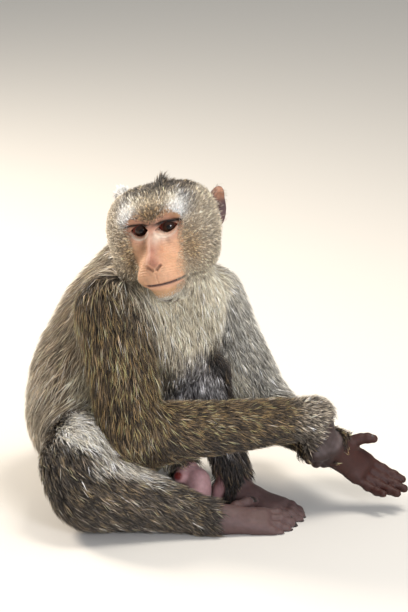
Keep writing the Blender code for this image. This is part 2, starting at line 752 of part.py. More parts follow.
def build_hands():
    made = []
    plans = (
        (
            "hand_right",
            WRIST_R,
            ELBOW_R,
            Vector((0.30, -0.25, -0.90)),
            Vector((0.45, -0.80, 0.35)),
            -1,
            (66, 50, 30),
            (0.93, 0.25, 0.30),
            (6, 14, 10),
        ),
        (
            "hand_left",
            WRIST_L,
            ELBOW_L,
            Vector((0.76, 0.0, -0.58)),
            Vector((-0.25, 0.80, -0.50)),
            1,
            (8, 16, 12),
            (0.35, 0.72, 0.48),
            (8, 16, 12),
        ),
    )
    for name, wrist, elbow, along, back, side, curls, way, thumb in plans:
        field = hand_field(wrist, elbow, along, back, side, curls, way, thumb)
        field.floor(0.0)
        hand = field_object(name, field, 450, smooth=1)
        spot, run = limb_end(name.replace("hand", "forearm"))
        drop_beyond(hand, spot + run * CUT, -run, 0.08, 0.08)
        made.append(hand)
    return made


def build_feet():
    made = []
    plans = (
        (
            "foot_right",
            Vector((-0.001, -0.1065, 0.0125)),
            (CALF_R.lerp(ANKLE_R, 0.72), ANKLE_R, 0.0235, 0.0150),
            Vector((0.99, 0.06, -0.01)),
            Vector((0.0, -0.35, 0.93)),
            -1,
            (8, 20, 18),
        ),
        (
            "foot_left",
            Vector((0.022, -0.029, 0.0118)),
            (KNEE_L.lerp(ANKLE_L, 0.70), ANKLE_L, 0.0200, 0.0175),
            Vector((0.86, -0.50, -0.02)),
            Vector((0.0, 0.0, 1.0)),
            1,
            (6, 22, 20),
        ),
    )
    for name, heel, leg, along, top, side, curls in plans:
        foot = field_object(name, foot_field(heel, leg, along, top, side, curls), 420, smooth=1)
        spot, run = limb_end(name.replace("foot", "shank"))
        drop_beyond(foot, spot + run * CUT, -run, 0.08, 0.08)
        made.append(foot)
    return made


# Bare skin between the legs
def build_groin(neighbours):
    field = Field((-0.050, -0.080, -0.010), (0.030, 0.000, 0.070), 0.0016)
    field.rod(Vector((-0.030, -0.018, 0.046)), Vector((-0.008, -0.044, 0.030)), 0.012, 0.012, 0.006)
    field.egg(Vector((-0.005, -0.048, 0.0225)), (0.0125, 0.0160, 0.0200), width=0.006)
    field.egg(Vector((-0.0245, -0.0475, 0.0355)), (0.0065, 0.0065, 0.0065), width=0.005)
    field.floor()
    made = field_object("scrotum", field, 160, smooth=1)
    made.data.materials.append(paint["groin_skin"])
    return clear_of(made, *neighbours)


clear_scene()
paint = {
    "coat": material("coat", (0.16, 0.125, 0.085), 0.9),
    "coat_pale": material("coat_pale", (0.42, 0.37, 0.30), 0.9),
    "face_skin": material("face_skin", (0.62, 0.34, 0.24), 0.6),
    "ear_skin": material("ear_skin", (0.52, 0.30, 0.24), 0.6),
    "hand_skin": material("hand_skin", (0.12, 0.075, 0.070), 0.6),
    "groin_skin": material("groin_skin", (0.50, 0.30, 0.30), 0.6),
    "eye": material("eye", (0.030, 0.015, 0.010), 0.15),
}
head, eyes, ears = build_head()
limbs = build_limbs()
body = build_body(head, limbs)
part_limbs(*limbs)
jaw, muzzle = part_head(head)
part_tail(body)
hands = build_hands()
feet = build_feet()
part_trunk(body)
around = ("pelvis", "belly", "thigh_left", "thigh_right", "shank_right", "shank_left", "foot_left")
build_groin([bpy.data.objects[name] for name in around])
clear_of(hands[0], bpy.data.objects["forearm_left"], hands[1])
clear_of(feet[1], feet[0])
pale = ("chest", "neck")
for made in bpy.data.objects:
    if not made.data.materials:
        made.data.materials.append(paint["coat_pale" if made.name in pale else "coat"])
for made in (*hands, *feet):
    made.data.materials.clear()
    made.data.materials.append(paint["hand_skin"])
for made in (jaw, muzzle):
    made.data.materials.clear()
    made.data.materials.append(paint["face_skin"])
# Stand the model over the middle of its bounding box
spots = np.array([tuple(v.co) for made in bpy.data.objects for v in made.data.vertices])
middle = (spots.min(axis=0) + spots.max(axis=0)) / 2
shift = Matrix.Translation((-middle[0], -middle[1], 0))
print("moved by", [round(-v, 5) for v in middle[:2]])
total = 0
for made in bpy.data.objects:
    made.data.transform(shift)
    made.data.shade_smooth()
    count = sum(len(p.vertices) - 2 for p in made.data.polygons)
    total += count
    print(made.name, count, [round(v, 3) for v in made.dimensions])
print("triangles", total)
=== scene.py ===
# A seated long-tailed macaque as a life-size museum model: skin, eyes, nails and a coat of locks.
import math

import bmesh
import bpy
import numpy as np
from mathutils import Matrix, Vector, kdtree


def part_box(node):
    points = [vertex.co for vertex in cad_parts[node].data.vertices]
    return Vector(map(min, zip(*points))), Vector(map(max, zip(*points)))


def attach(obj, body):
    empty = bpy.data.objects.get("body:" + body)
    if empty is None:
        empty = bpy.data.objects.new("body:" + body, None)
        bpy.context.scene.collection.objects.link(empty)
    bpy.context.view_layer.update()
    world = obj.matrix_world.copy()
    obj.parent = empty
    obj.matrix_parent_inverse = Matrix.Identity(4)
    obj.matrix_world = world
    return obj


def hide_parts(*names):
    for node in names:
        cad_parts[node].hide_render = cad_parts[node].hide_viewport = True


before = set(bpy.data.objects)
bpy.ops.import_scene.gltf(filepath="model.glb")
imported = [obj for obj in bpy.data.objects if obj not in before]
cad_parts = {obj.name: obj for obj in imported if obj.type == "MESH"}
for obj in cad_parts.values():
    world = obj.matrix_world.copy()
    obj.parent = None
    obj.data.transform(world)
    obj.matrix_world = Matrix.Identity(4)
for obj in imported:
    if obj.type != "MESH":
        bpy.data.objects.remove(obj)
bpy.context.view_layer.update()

nodes = sorted(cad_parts)
fleshNodes = [name for name in nodes if not name.startswith("eye")]
chance = np.random.default_rng(11)


def unit(v):
    v = np.asarray(v, float)
    return v / np.maximum(np.linalg.norm(v, axis=-1, keepdims=True), 1e-12)


def colour(code):  # sRGB hex to linear
    parts = np.array([int(code[i : i + 2], 16) for i in (1, 3, 5)]) / 255
    return np.where(parts <= 0.04045, parts / 12.92, ((parts + 0.055) / 1.055) ** 2.4)


def ramp(value, low, high):  # 0 at low and before, 1 at high and past it, smooth between
    t = np.clip((value - low) / (high - low), 0, 1)
    return t * t * (3 - 2 * t)


def bump(value, centre, width):
    return np.exp(-((value - centre) ** 2) / (2 * width * width))


def gap(points, spot):
    return np.linalg.norm(points - spot, axis=1)


def lineGap(points, start, end):  # distance from a line, and the share along it
    run = end - start
    t = np.clip((points - start) @ run / (run @ run), 0, 1)
    return np.linalg.norm(points - start - t[:, None] * run, axis=1), t


def mixed(under, over, share):  # colours laid over colours
    share = np.clip(share, 0, 1)[:, None]
    return under * (1 - share) + over * share


def dot(a, b):
    return a[0] * b[0] + a[1] * b[1] + a[2] * b[2]


def fetch(items, name, width=1, kind=float):  # one property of every item
    values = np.zeros(len(items) * width, kind)
    items.foreach_get(name, values)
    return values.reshape(-1, width) if width > 1 else values


def smooth(mesh):
    mesh.polygons.foreach_set("use_smooth", np.ones(len(mesh.polygons), bool))


def placed(name, data):
    made = bpy.data.objects.new(name, data)
    bpy.context.scene.collection.objects.link(made)
    return made


def cloud(points, size, seed=0.0):  # smooth wandering values about 0, blobs of the given size
    p = points / size * 2.1 + seed
    x, y, z = p[:, 0], p[:, 1], p[:, 2]
    return (
        np.sin(x + 1.7 * np.sin(0.8 * y + 0.3)) * np.cos(y - 1.3 * np.sin(0.9 * z))
        + np.sin(1.9 * z + 1.1 * np.cos(1.2 * x)) * np.cos(1.7 * x + 0.6 * y)
    ) / 2


# Landmarks of the solids in metres, as they were before being centred over the floor
joint = {
    "eyes": (-0.051, -0.058, 0.3015),
    "neckRoot": (-0.047, 0.020, 0.232),
    "pelvis": (-0.101, 0.042, 0.074),
    "belly": (-0.093, 0.040, 0.112),
    "ribs": (-0.076, 0.034, 0.166),
    "withers": (-0.057, 0.030, 0.209),
    "shoulderR": (-0.090, -0.032, 0.207),
    "elbowR": (-0.071, -0.076, 0.089),
    "wristR": (0.110, -0.048, 0.0985),
    "shoulderL": (0.004, 0.058, 0.188),
    "elbowL": (0.062, 0.060, 0.069),
    "wristL": (0.130, -0.042, 0.0634),
    "hipR": (-0.112, -0.004, 0.060),
    "kneeR": (-0.120, -0.088, 0.062),
    "calfR": (-0.109, -0.106, 0.0450),
    "ankleR": (0.002, -0.106, 0.0165),
    "hipL": (-0.070, 0.052, 0.060),
    "kneeL": (0.001, -0.006, 0.1300),
    "ankleL": (0.031, -0.031, 0.024),
}
joint = {name: np.array(spot) for name, spot in joint.items()}
tailRoute = np.array(
    [
        (-0.150, 0.090, 0.034),
        (-0.159, 0.138, 0.0116),
        (-0.124, 0.202, 0.0102),
        (-0.035, 0.236, 0.0089),
        (0.048, 0.224, 0.0076),
        (0.088, 0.188, 0.0063),
        (0.060, 0.160, 0.0050),
    ]
)
headTurn = {"yaw": 12, "lift": 6, "roll": 13.5}  # degrees


def headAxes():
    yaw, lift, roll = (math.radians(headTurn[k]) for k in ("yaw", "lift", "roll"))
    ahead = np.array((-math.sin(yaw) * math.cos(lift), -math.cos(yaw) * math.cos(lift), math.sin(lift)))
    level = np.array((math.cos(yaw), -math.sin(yaw), 0))
    up = unit(np.cross(level, ahead))
    up = -up if up[2] < 0 else up
    left = math.cos(roll) * level + math.sin(roll) * up
    return left, ahead, math.cos(roll) * up - math.sin(roll) * level


left, ahead, crown = headAxes()
headAxis = np.array((left, ahead, crown))


def drift(f, u):  # the muzzle stands a little to the left of the head's middle, the brow a little low
    front = ramp(f, -35, -15)
    return front * (1.0 + 4.0 * ramp(-u, 5, 60)), front * 2.6 * ramp(u, -36, -12) * ramp(-u, -20, -8)


def headSpot(l, f, u):  # millimetres left, ahead and above the point between the corneas
    aside, low = drift(f, u)
    return joint["eyes"] + (left * (l + aside) + ahead * f + crown * (u - low)) / 1000


def inHead(points):
    l, f, high = ((points - joint["eyes"]) @ headAxis.T).T * 1000
    u = high
    for _ in range(3):
        u = high + drift(f, u)[1]
    return l - drift(f, u)[0], f, u


eyeSize = {"radius": 0.0100, "apart": 0.0270, "low": 0.5}
eyeBoxes = [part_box(name) for name in ("eye_right", "eye_left")]
eyeSpots = [np.array((low + high) / 2) for low, high in eyeBoxes]
middle = headSpot(0, -10, -1)
shift = (eyeSpots[0] + eyeSpots[1]) / 2 - middle  # from the landmarks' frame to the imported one
print("shift", shift.round(5))


# Forms: signed distances of rods and eggs, blended one after another
outside = 0.05  # the distance where no form reaches
formMargin = 0.018  # how far a form's box stands off its surface


def blended(a, b, width):
    width = np.maximum(width, 1e-6)
    mix = np.clip(0.5 + 0.5 * (a - b) / width, 0, 1)
    return a + (b - a) * mix - width * mix * (1 - mix)


def rod(start, end, startRadius, endRadius, blend=0.006, flat=None, share=1.0, carve=False):
    start, end = np.asarray(start, float), np.asarray(end, float)
    run = end - start
    square = max(run @ run, 1e-12)
    reach = max(startRadius, endRadius) + 2 * blend + formMargin

    def measure(x, y, z):
        d = x - start[0], y - start[1], z - start[2]
        along = np.clip(dot(d, run) / square, 0, 1)
        d = [part - along * way for part, way in zip(d, run)]
        far = dot(d, d)
        if flat is not None:
            far = far + dot(d, flat) ** 2 * (1 / share**2 - 1)
        return np.sqrt(far) - (startRadius + along * (endRadius - startRadius))

    low, high = np.minimum(start, end) - reach, np.maximum(start, end) + reach
    return {"low": low, "high": high, "measure": measure, "blend": blend, "carve": carve}


def egg(centre, radii, axes=None, blend=0.008, carve=False):
    centre = np.asarray(centre, float)
    axes = np.eye(3) if axes is None else axes
    reach = max(radii) + 2 * blend + formMargin

    def measure(x, y, z):
        d = x - centre[0], y - centre[1], z - centre[2]
        near, slope = 0, 0
        for axis, radius in zip(axes, radii):
            part = dot(d, axis) / radius
            near = near + part * part
            slope = slope + (part / radius) ** 2
        near = np.sqrt(near)
        return near * (near - 1) / np.maximum(np.sqrt(slope), 1e-9)

    low, high = centre - reach, centre + reach
    return {"low": low, "high": high, "measure": measure, "blend": blend, "carve": carve}


# Several shapes as one, joined to the rest by a blend that may fade out away from a joint
def group(shapes, blend, fadeFrom=None, fadeReach=0.03):
    def measure(x, y, z):
        value = np.full(np.broadcast(x, y, z).shape, outside)
        for shape in shapes:
            value = join(value, shape, shape["measure"](x, y, z), x, y, z)
        return value

    low = np.min([s["low"] for s in shapes], axis=0)
    high = np.max([s["high"] for s in shapes], axis=0)
    fade = (fadeFrom, fadeReach)
    return {"low": low, "high": high, "measure": measure, "blend": blend, "carve": False, "fade": fade}


def join(value, shape, far, x, y, z):
    width = shape["blend"]
    spot, reach = shape.get("fade", (None, 0))
    if spot is not None:
        away = np.sqrt((x - spot[0]) ** 2 + (y - spot[1]) ** 2 + (z - spot[2]) ** 2)
        width = width * np.clip(1.5 - away / reach, 0.05, 1)
    return -blended(-value, far, width) if shape["carve"] else blended(value, far, width)


def measureAt(shapes, points):
    value = np.full(len(points), outside)
    for shape in shapes:
        near = np.flatnonzero(((points > shape["low"]) & (points < shape["high"])).all(1))
        if near.size:
            x, y, z = points[near].T
            value[near] = join(value[near], shape, shape["measure"](x, y, z), x, y, z)
    return value


class Grid:  # the same distances sampled on a regular grid
    def __init__(self, low, high, pitch):
        self.low, self.pitch = np.array(low, float), pitch
        count = np.ceil((np.array(high) - self.low) / pitch).astype(int) + 1
        self.axes = [self.low[i] + pitch * np.arange(count[i]) for i in range(3)]
        self.value = np.full(count, outside)

    def fill(self, shapes):
        for shape in shapes:
            first = np.floor((shape["low"] - self.low) / self.pitch).clip(0).astype(int)
            last = np.ceil((shape["high"] - self.low) / self.pitch).clip(0).astype(int) + 1
            cut = tuple(map(slice, first, last))
            spans = (axis[part] for axis, part in zip(self.axes, cut))
            x, y, z = np.meshgrid(*spans, indexing="ij", sparse=True)
            old = self.value[cut]
            if old.size:
                self.value[cut] = join(old, shape, shape["measure"](x, y, z), x, y, z)

    def surface(self):  # one point in each cell that the zero surface crosses
        value, inside = self.value, self.value < 0
        corners = list(np.ndindex(2, 2, 2))
        shape = tuple(n - 1 for n in value.shape)
        total = sum(inside[tuple(map(slice, c, np.add(c, shape)))].astype(np.int8) for c in corners)
        cells = np.argwhere((total > 0) & (total < 8))
        number = np.full(shape, -1, np.int32)
        number[tuple(cells.T)] = np.arange(len(cells))
        at = [value[tuple((cells + c).T)] for c in corners]
        points, hits = np.zeros((len(cells), 3)), np.zeros(len(cells))
        for a, ca in enumerate(corners):
            for b, cb in enumerate(corners):
                step = np.subtract(cb, ca)
                if b <= a or np.abs(step).sum() != 1:
                    continue
                crossed = (at[a] < 0) != (at[b] < 0)
                part = np.where(crossed, at[a] / np.where(crossed, at[a] - at[b], 1), 0)
                points += crossed[:, None] * (np.array(ca) + part[:, None] * step)
                hits += crossed
        points = self.low + self.pitch * (cells + points / hits[:, None])
        quads = []
        for axis in range(3):
            index = [slice(1, -1)] * 3
            index[axis] = slice(0, -1)
            change = (inside != np.roll(inside, -1, axis))[tuple(index)]
            spots = np.argwhere(change) + [int(s.start) for s in index]
            u, v = (axis + 1) % 3, (axis + 2) % 3
            ring = []
            for du, dv in ((-1, -1), (0, -1), (0, 0), (-1, 0)):
                move = np.zeros(3, int)
                move[u], move[v] = du, dv
                ring.append(number[tuple((spots + move).T)])
            ring = np.stack(ring, 1)
            flip = ~inside[tuple(spots.T)]
            ring[flip] = ring[flip][:, ::-1]
            quads.append(ring)
        return points, np.concatenate(quads)

    def read(self, array, points):  # the grid's values between its samples
        p = np.clip((points - self.low) / self.pitch, 0, np.array(self.value.shape) - 1.001)
        base = p.astype(int)
        part = p - base
        total = 0
        for corner in np.ndindex(2, 2, 2):
            w = 1
            for axis, past in enumerate(corner):
                w = w * (part[:, axis] if past else 1 - part[:, axis])
            got = array[tuple((base + corner).T)]
            total = total + (w[:, None] * got if got.ndim > 1 else w * got)
        return total


# Coat depth in metres under the outer form: where the skin lies inside the solids
coatDepth = {
    "trunk": 0.0085,
    "upperArm": 0.0070,
    "forearm": 0.0055,
    "wrist": 0.0035,
    "thigh": 0.0080,
    "shank": 0.0070,
    "ankle": 0.0030,
    "neck": 0.0080,
    "skull": 0.0040,
    "ruff": 0.0055,
    "tail": 0.0030,
}


trunkRadius = 0.079
trunkRods = (("pelvis", "belly", 0.97, 1), ("belly", "ribs", 1, 0.90), ("ribs", "withers", 0.87, 0.74))


def trunkShapes():
    d, r, j = coatDepth["trunk"], trunkRadius, joint
    shapes = [
        egg(j["pelvis"], (r - d, r * 0.98 - d, r * 0.96 - d), blend=0.02),
        *(rod(j[a], j[b], r * wideA - d, r * wideB - d, 0.02) for a, b, wideA, wideB in trunkRods),
        rod(j["withers"], j["neckRoot"], 0.055 - d, 0.046 - d, 0.02),
        rod(j["neckRoot"], headSpot(0, -62, -22), 0.046 - d, 0.042 - d, 0.02),
        rod(j["neckRoot"] + (0.022, -0.018, -0.03), headSpot(0, -34, -52), 0.045 - d, 0.030 - d, 0.02),
        rod(j["shoulderR"], j["shoulderL"], 0.041 - d, 0.040 - d, 0.025),
    ]
    chest = (j["shoulderR"] + j["shoulderL"]) / 2 + (0.009, -0.013, -0.036)
    shapes.append(egg(chest, (0.053 - d, 0.054 - d, 0.053 - d), blend=0.022))
    for hip, knee in (("hipR", "kneeR"), ("hipL", "kneeL")):
        hip, knee = j[hip], j[knee]
        shapes.append(egg(hip, (0.048 - d, 0.048 - d, 0.050 - d), blend=0.02))
        shapes.append(rod(hip, hip + 0.45 * (knee - hip), 0.047 - d, 0.044 - d, 0.016))
    shapes.append(rod(tailRoute[0] + (0.02, -0.03, 0.01), tailRoute[0], 0.024 - d * 0.6, 0.014, 0.02))
    return shapes


def tailLine():
    spots, steps = [], 6
    for n in range(len(tailRoute) - 1):
        before, after = tailRoute[max(n - 1, 0)], tailRoute[min(n + 2, len(tailRoute) - 1)]
        a, b = tailRoute[n], tailRoute[n + 1]
        for s in range(steps):
            t = s / steps
            bend = (b - before) * 0.5 * (t**3 - 2 * t**2 + t) + (after - a) * 0.5 * (t**3 - t**2)
            spots.append(a * (2 * t**3 - 3 * t**2 + 1) + b * (3 * t**2 - 2 * t**3) + bend)
    return np.array([*spots, tailRoute[-1]])


tailSpots = tailLine()


def tailShapes():
    span = len(tailSpots) - 1
    sizes = [0.0135 - 0.008 * n / span - coatDepth["tail"] * (1 - 0.4 * n / span) for n in range(span + 1)]
    rods = [rod(tailSpots[n], tailSpots[n + 1], sizes[n], sizes[n + 1], 0.002) for n in range(span)]
    return group(rods, 0.010, tailRoute[0])


def toward(a, b, share):
    return a + (b - a) * share


def limbShapes():
    j, d = joint, coatDepth
    arm = ((0.0375, 0.0325, 0.0205, "R", 0), (0.0350, 0.0290, 0.0165, "L", 0.0003))
    made = []
    for shoulder, elbow, wrist, side, slim in arm:
        s, e, w = j["shoulder" + side], j["elbow" + side], j["wrist" + side]
        upper = rod(toward(s, e, 0.26), e, shoulder - d["upperArm"], elbow - d["forearm"], 0.010)
        fore = rod(e, w, elbow - d["forearm"] + 0.001, wrist - d["wrist"] + slim, 0.010)
        made.append(group([upper, fore], 0.022, s, 0.06))
    leg = ((0.046, 0.0450, 0.0460, 0.0150, "R"), (0.043, 0.0275, 0.0270, 0.0175, "L"))
    for hip, knee, calf, ankle, side in leg:
        h, k, a = j["hip" + side], j["knee" + side], j["ankle" + side]
        c = j["calfR"] if side == "R" else k
        thigh = rod(h, k, hip - d["thigh"], knee - d["shank"] - 0.001, 0.010)
        shank = rod(c, a, calf - d["shank"] - 0.001, ankle - d["ankle"], 0.010)
        made.append(group([thigh, shank], 0.016, h, 0.06))
    return made


def eyeShapes(side):  # lids: a rim over the ball, parted by an almond opening
    centre = headSpot(side * eyeSize["apart"] * 500, -eyeSize["radius"] * 1000, -1 - side * eyeSize["low"])
    radius = eyeSize["radius"]
    lid = egg(centre, (radius + 0.0011,) * 3, blend=0.004)
    form = lidForm["right" if side < 0 else "left"]

    def opening(x, y, z):
        d = x - centre[0], y - centre[1], z - centre[2]
        l, f, u = dot(d, left) * side * 1000, dot(d, ahead) * 1000, dot(d, crown) * 1000
        s = (l - form["shiftOut"]) / form["half"]
        bend = np.maximum(1 - s * s, -1.5)
        u = u - form["tilt"] * s
        top, bottom = form["top"] * bend, -form["bottom"] * bend
        away = np.sqrt(dot(d, d)) * 1000
        deep = radius * 1000 - 1.6
        return np.maximum(np.maximum(np.maximum(u - top, bottom - u), deep - away), -f) / 1000

    low, high = centre - 0.03, centre + 0.03
    return [lid, {"low": low, "high": high, "measure": opening, "blend": 0.0006, "carve": True}]


# Eye openings in millimetres from the ball's middle: how high, how low, half the width
lidForm = {
    "right": {"top": 4.8, "bottom": 5.8, "half": 10.5, "tilt": 0.0, "shiftOut": 0.4},
    "left": {"top": 4.6, "bottom": 5.2, "half": 10.2, "tilt": 0.4, "shiftOut": 0.2},
}


def headShapes():
    d, axes, hs = coatDepth, headAxis, headSpot
    k, c = d["skull"], d["ruff"]
    shapes = [egg(hs(0, -50, -7), (0.049 - k, 0.057 - k, 0.041 - k), axes, 0.012)]
    half = 58
    for side in (-1, 1):
        shapes.append(egg(hs(side * 24, -46, 8), (0.026 - k, 0.036 - k, 0.022 - k), axes, 0.015))
        shapes.append(egg(hs(side * (half - 27), -38, -18), (0.027 - c, 0.032 - c, 0.036 - c), axes, 0.020))
        shapes.append(egg(hs(side * (half - 33), -24, -42), (0.0205, 0.0235, 0.0145), axes, 0.018))
        shapes.append(egg(hs(side * 20, -14, -24), (0.0142, 0.0152, 0.0182), axes, 0.014))
    shapes += [
        rod(hs(0, -66, -28), joint["neckRoot"], 0.044 - d["neck"], 0.050 - d["neck"], 0.016),
        rod(hs(0, -34, -48), joint["neckRoot"] + (0.022, -0.018, -0.03), 0.020, 0.043 - d["neck"], 0.016),
        rod(hs(-25, -8, 9.5), hs(25, -8, 9.5), 0.0072, 0.0072, 0.014),
        rod(hs(0, -14, -4), hs(0, -8, -36), 0.016, 0.021, 0.012),
    ]
    for side in (-1, 1):
        shapes.append(egg(hs(side * 14.5, 4, -1.5), (0.0125, 0.0125, 0.0085), axes, 0.006, carve=True))
        shapes.append(rod(hs(side * 14, 0, -15), hs(side * 20, -4, -12), 0.007, 0.006, 0.010))
    shapes += [
        rod(hs(0, 0, 0), hs(0, 29, -29), 0.0066, 0.0065, 0.009),
        rod(hs(0, -2, -37), hs(0, 25, -41), 0.0215, 0.0150, 0.010, crown, 0.88),
        egg(hs(0, 15, -47), (0.0245, 0.027, 0.0135), axes, 0.010),
        egg(hs(0, 33, -33), (0.0085, 0.0065, 0.0055), axes, 0.006),
        rod(hs(0, -4, -60), hs(0, 20, -62), 0.0176, 0.0112, 0.008, crown, 0.85),
    ]
    for side in (-1, 1):
        shapes += eyeShapes(side)
    return group(shapes, 0.012)


def earShapes(tip, lobe):
    top, bottom = headSpot(*tip), headSpot(*lobe)
    side = left if tip[0] > 0 else -left
    centre = (top + bottom) / 2 - side * 0.002
    tall = unit(top - bottom)
    out = side * 0.88 + ahead * 0.48
    wide = unit(np.cross(tall, out))
    out = unit(np.cross(wide, tall))
    half = np.linalg.norm(top - bottom) / 2
    axes = (wide, tall, out)
    return group(
        [
            egg(centre, (0.0130, half * 0.965, 0.0064), axes, 0.001),
            egg(centre + tall * half * 0.78 + side * 0.003, (0.0058, half * 0.33, 0.0038), axes, 0.006),
            egg(centre + out * 0.0052, (0.0100, half * 0.83, 0.0059), axes, 0.002, carve=True),
            rod(centre - tall * half * 0.45, centre + tall * half * 0.42, 0.0016, 0.0012, 0.004),
        ],
        0.003,
    )


ears = {"right": ((-39, -66, 30), (-46, -62, -8)), "left": ((57, -64, 15.5), (50.5, -60, -23))}
fingerRadius = 0.0047
toeRadius = 0.0046
nailSpots = []  # tip, heading, palmward and radius of every digit


def digit(shapes, root, along, palmward, lengths, curls, radius):
    spot, heading = np.array(root), unit(along)
    palmward = unit(palmward - heading * (palmward @ heading))
    for n, (length, curl) in enumerate(zip(lengths, curls)):
        turn = math.radians(curl)
        c, s = math.cos(turn), math.sin(turn)
        heading, palmward = heading * c + palmward * s, palmward * c - heading * s
        tip = spot + heading * length
        shapes.append(rod(spot, tip, radius * (1.05 - 0.05 * n), radius * (0.98 - 0.07 * n), 0.0018))
        if n:  # knuckle
            shapes.append(egg(spot, (radius * 1.04,) * 3, blend=0.002))
        spot = tip
    nailSpots.append((spot, heading, palmward, radius * (0.98 - 0.07 * (len(lengths) - 1))))


def stub(root, along, radius):  # where a digit leaves the palm or the sole
    return rod(root - along * 0.008, root, radius * 1.05, radius * 0.98, 0.0018)


def handShapes(wrist, elbow, along, back, thumbSide, curls, thumbWay, thumbCurls):
    along = unit(along)
    back = unit(back - along * (back @ along))
    thumbward = np.cross(along, back) * thumbSide
    upArm = wrist + unit(elbow - wrist) * 0.03
    shapes = [
        rod(upArm, wrist, 0.0165, 0.0155, 0.004),
        rod(wrist, wrist + along * 0.012, 0.0160, 0.0145, 0.008, back, 0.86),
    ]
    for offset in (-0.0074, 0.0, 0.0074):
        near = wrist + along * 0.006 + thumbward * offset * 0.7
        far = wrist + along * 0.035 + thumbward * offset * 1.30
        shapes.append(rod(near, far, 0.0096, 0.0082, 0.008, back, 0.9))
    fingers = (
        (0.0119, 0.0360, (0.0180, 0.0125, 0.0098), 0.05),
        (0.0042, 0.0385, (0.0200, 0.0142, 0.0102), 0.02),
        (-0.0038, 0.0375, (0.0190, 0.0134, 0.0100), -0.03),
        (-0.0116, 0.0342, (0.0155, 0.0108, 0.0090), -0.09),
    )
    for n, (offset, out, lengths, spread) in enumerate(fingers):
        root = wrist + along * out + thumbward * offset
        bends = [c + 4 * (n - 1.5) for c in curls]
        shapes.append(stub(root, along, fingerRadius * 1.15))
        size = fingerRadius * (1.0 if n < 3 else 0.9)
        digit(shapes, root, along + thumbward * spread, -back, lengths, bends, size)
    root = wrist + along * 0.009 + thumbward * 0.010 - back * 0.004
    heading = unit(along * thumbWay[0] + thumbward * thumbWay[1] - back * thumbWay[2])
    shapes.append(rod(root, root + heading * 0.010, 0.0084, 0.0062, 0.005))
    start = root + heading * 0.008
    digit(shapes, start, heading, along - back * 0.3, (0.0072, 0.0066, 0.0062), thumbCurls, 0.0050)
    return group(shapes, 0.005, wrist, 0.03)


def footShapes(heel, leg, along, top, bigSide, curls):
    along = unit(along)
    top = unit(top - along * (top @ along))
    inward = np.cross(along, top) * bigSide
    shapes = [
        egg(heel, (0.013, 0.013, 0.0125), blend=0.004),
        rod(leg[0], leg[1], leg[2] - 0.004, leg[3] - 0.0015, 0.008),
        rod(leg[1], heel + along * 0.016, 0.0140, 0.0125, 0.006),
        rod(heel, heel + along * 0.030 + top * 0.002, 0.0125, 0.0120, 0.008, top, 0.95),
    ]
    for offset in (-0.008, 0.0, 0.0075):
        near = heel + along * 0.018 + inward * offset * 0.6
        far = heel + along * 0.060 + inward * offset * 1.25 - top * 0.003
        shapes.append(rod(near, far, 0.0105, 0.0076, 0.008, top, 0.9))
    toes = (
        (0.0125, 0.0610, (0.013, 0.010, 0.0085), 0.08),
        (0.0045, 0.0630, (0.014, 0.011, 0.0085), 0.02),
        (-0.0040, 0.0610, (0.013, 0.010, 0.0080), -0.05),
        (-0.0120, 0.0570, (0.011, 0.009, 0.0075), -0.12),
    )
    for offset, out, lengths, spread in toes:
        root = heel + along * out + inward * offset - top * 0.003
        shapes.append(stub(root, along, toeRadius * 1.1))
        digit(shapes, root, along + inward * spread, -top, lengths, curls, toeRadius)
    root = heel + along * 0.022 + inward * 0.010 - top * 0.001
    digit(shapes, root, along * 0.8 + inward * 0.62, -top, (0.016, 0.013, 0.011), (0, 8, 14), 0.0056)
    return group(shapes, 0.005, leg[1], 0.03)


def groinShapes():
    return group(
        [
            rod((-0.030, -0.018, 0.046), (-0.008, -0.044, 0.030), 0.012, 0.012, 0.006),
            egg((-0.005, -0.048, 0.0225), (0.0125, 0.0160, 0.0200), blend=0.006),
            egg((-0.0245, -0.0475, 0.0355), (0.0065, 0.0065, 0.0065), blend=0.005),
        ],
        0.003,
    )


def vec(*v):
    return np.array(v, float)


endForms = []  # hands, then feet


def bodyShapes():
    j = joint
    rightHand = (vec(0.30, -0.25, -0.90), vec(0.45, -0.80, 0.35), -1, (66, 50, 30), (0.93, 0.25, 0.30))
    leftHand = (vec(0.76, 0.0, -0.58), vec(-0.25, 0.80, -0.50), 1, (8, 16, 12), (0.35, 0.72, 0.48))
    rightLeg = (toward(j["calfR"], j["ankleR"], 0.72), j["ankleR"], 0.0235, 0.0150)
    leftLeg = (toward(j["kneeL"], j["ankleL"], 0.70), j["ankleL"], 0.0200, 0.0175)
    rightFoot = (vec(-0.001, -0.1065, 0.0125), rightLeg, vec(0.99, 0.06, -0.01), vec(0, -0.35, 0.93), -1)
    leftFoot = (vec(0.022, -0.029, 0.0118), leftLeg, vec(0.86, -0.50, -0.02), vec(0, 0, 1), 1)
    endForms.extend((
        handShapes(j["wristR"], j["elbowR"], *rightHand, (6, 14, 10)),
        handShapes(j["wristL"], j["elbowL"], *leftHand, (8, 16, 12)),
        footShapes(*rightFoot, (8, 20, 18)),
        footShapes(*leftFoot, (6, 22, 20)),
    ))
    return [
        *trunkShapes(),
        tailShapes(),
        *limbShapes(),
        headShapes(),
        *(earShapes(*ear) for ear in ears.values()),
        *endForms,
        groinShapes(),
    ]


noseShift = 0.6


def lipLine(l):  # height of the mouth's line
    return -53.3 + 1.3 * np.clip(np.abs(l) / 24, 0, 1.3) ** 2


def nostrils(l, u):  # distance in millimetres from each of two slits in a V
    for turn in (-1, 1):
        start, end = vec(noseShift + turn * 2.0, -38.2), vec(noseShift + turn * 6.6, -34.4)
        yield lineGap(np.stack([l, u], 1), start, end)[0]


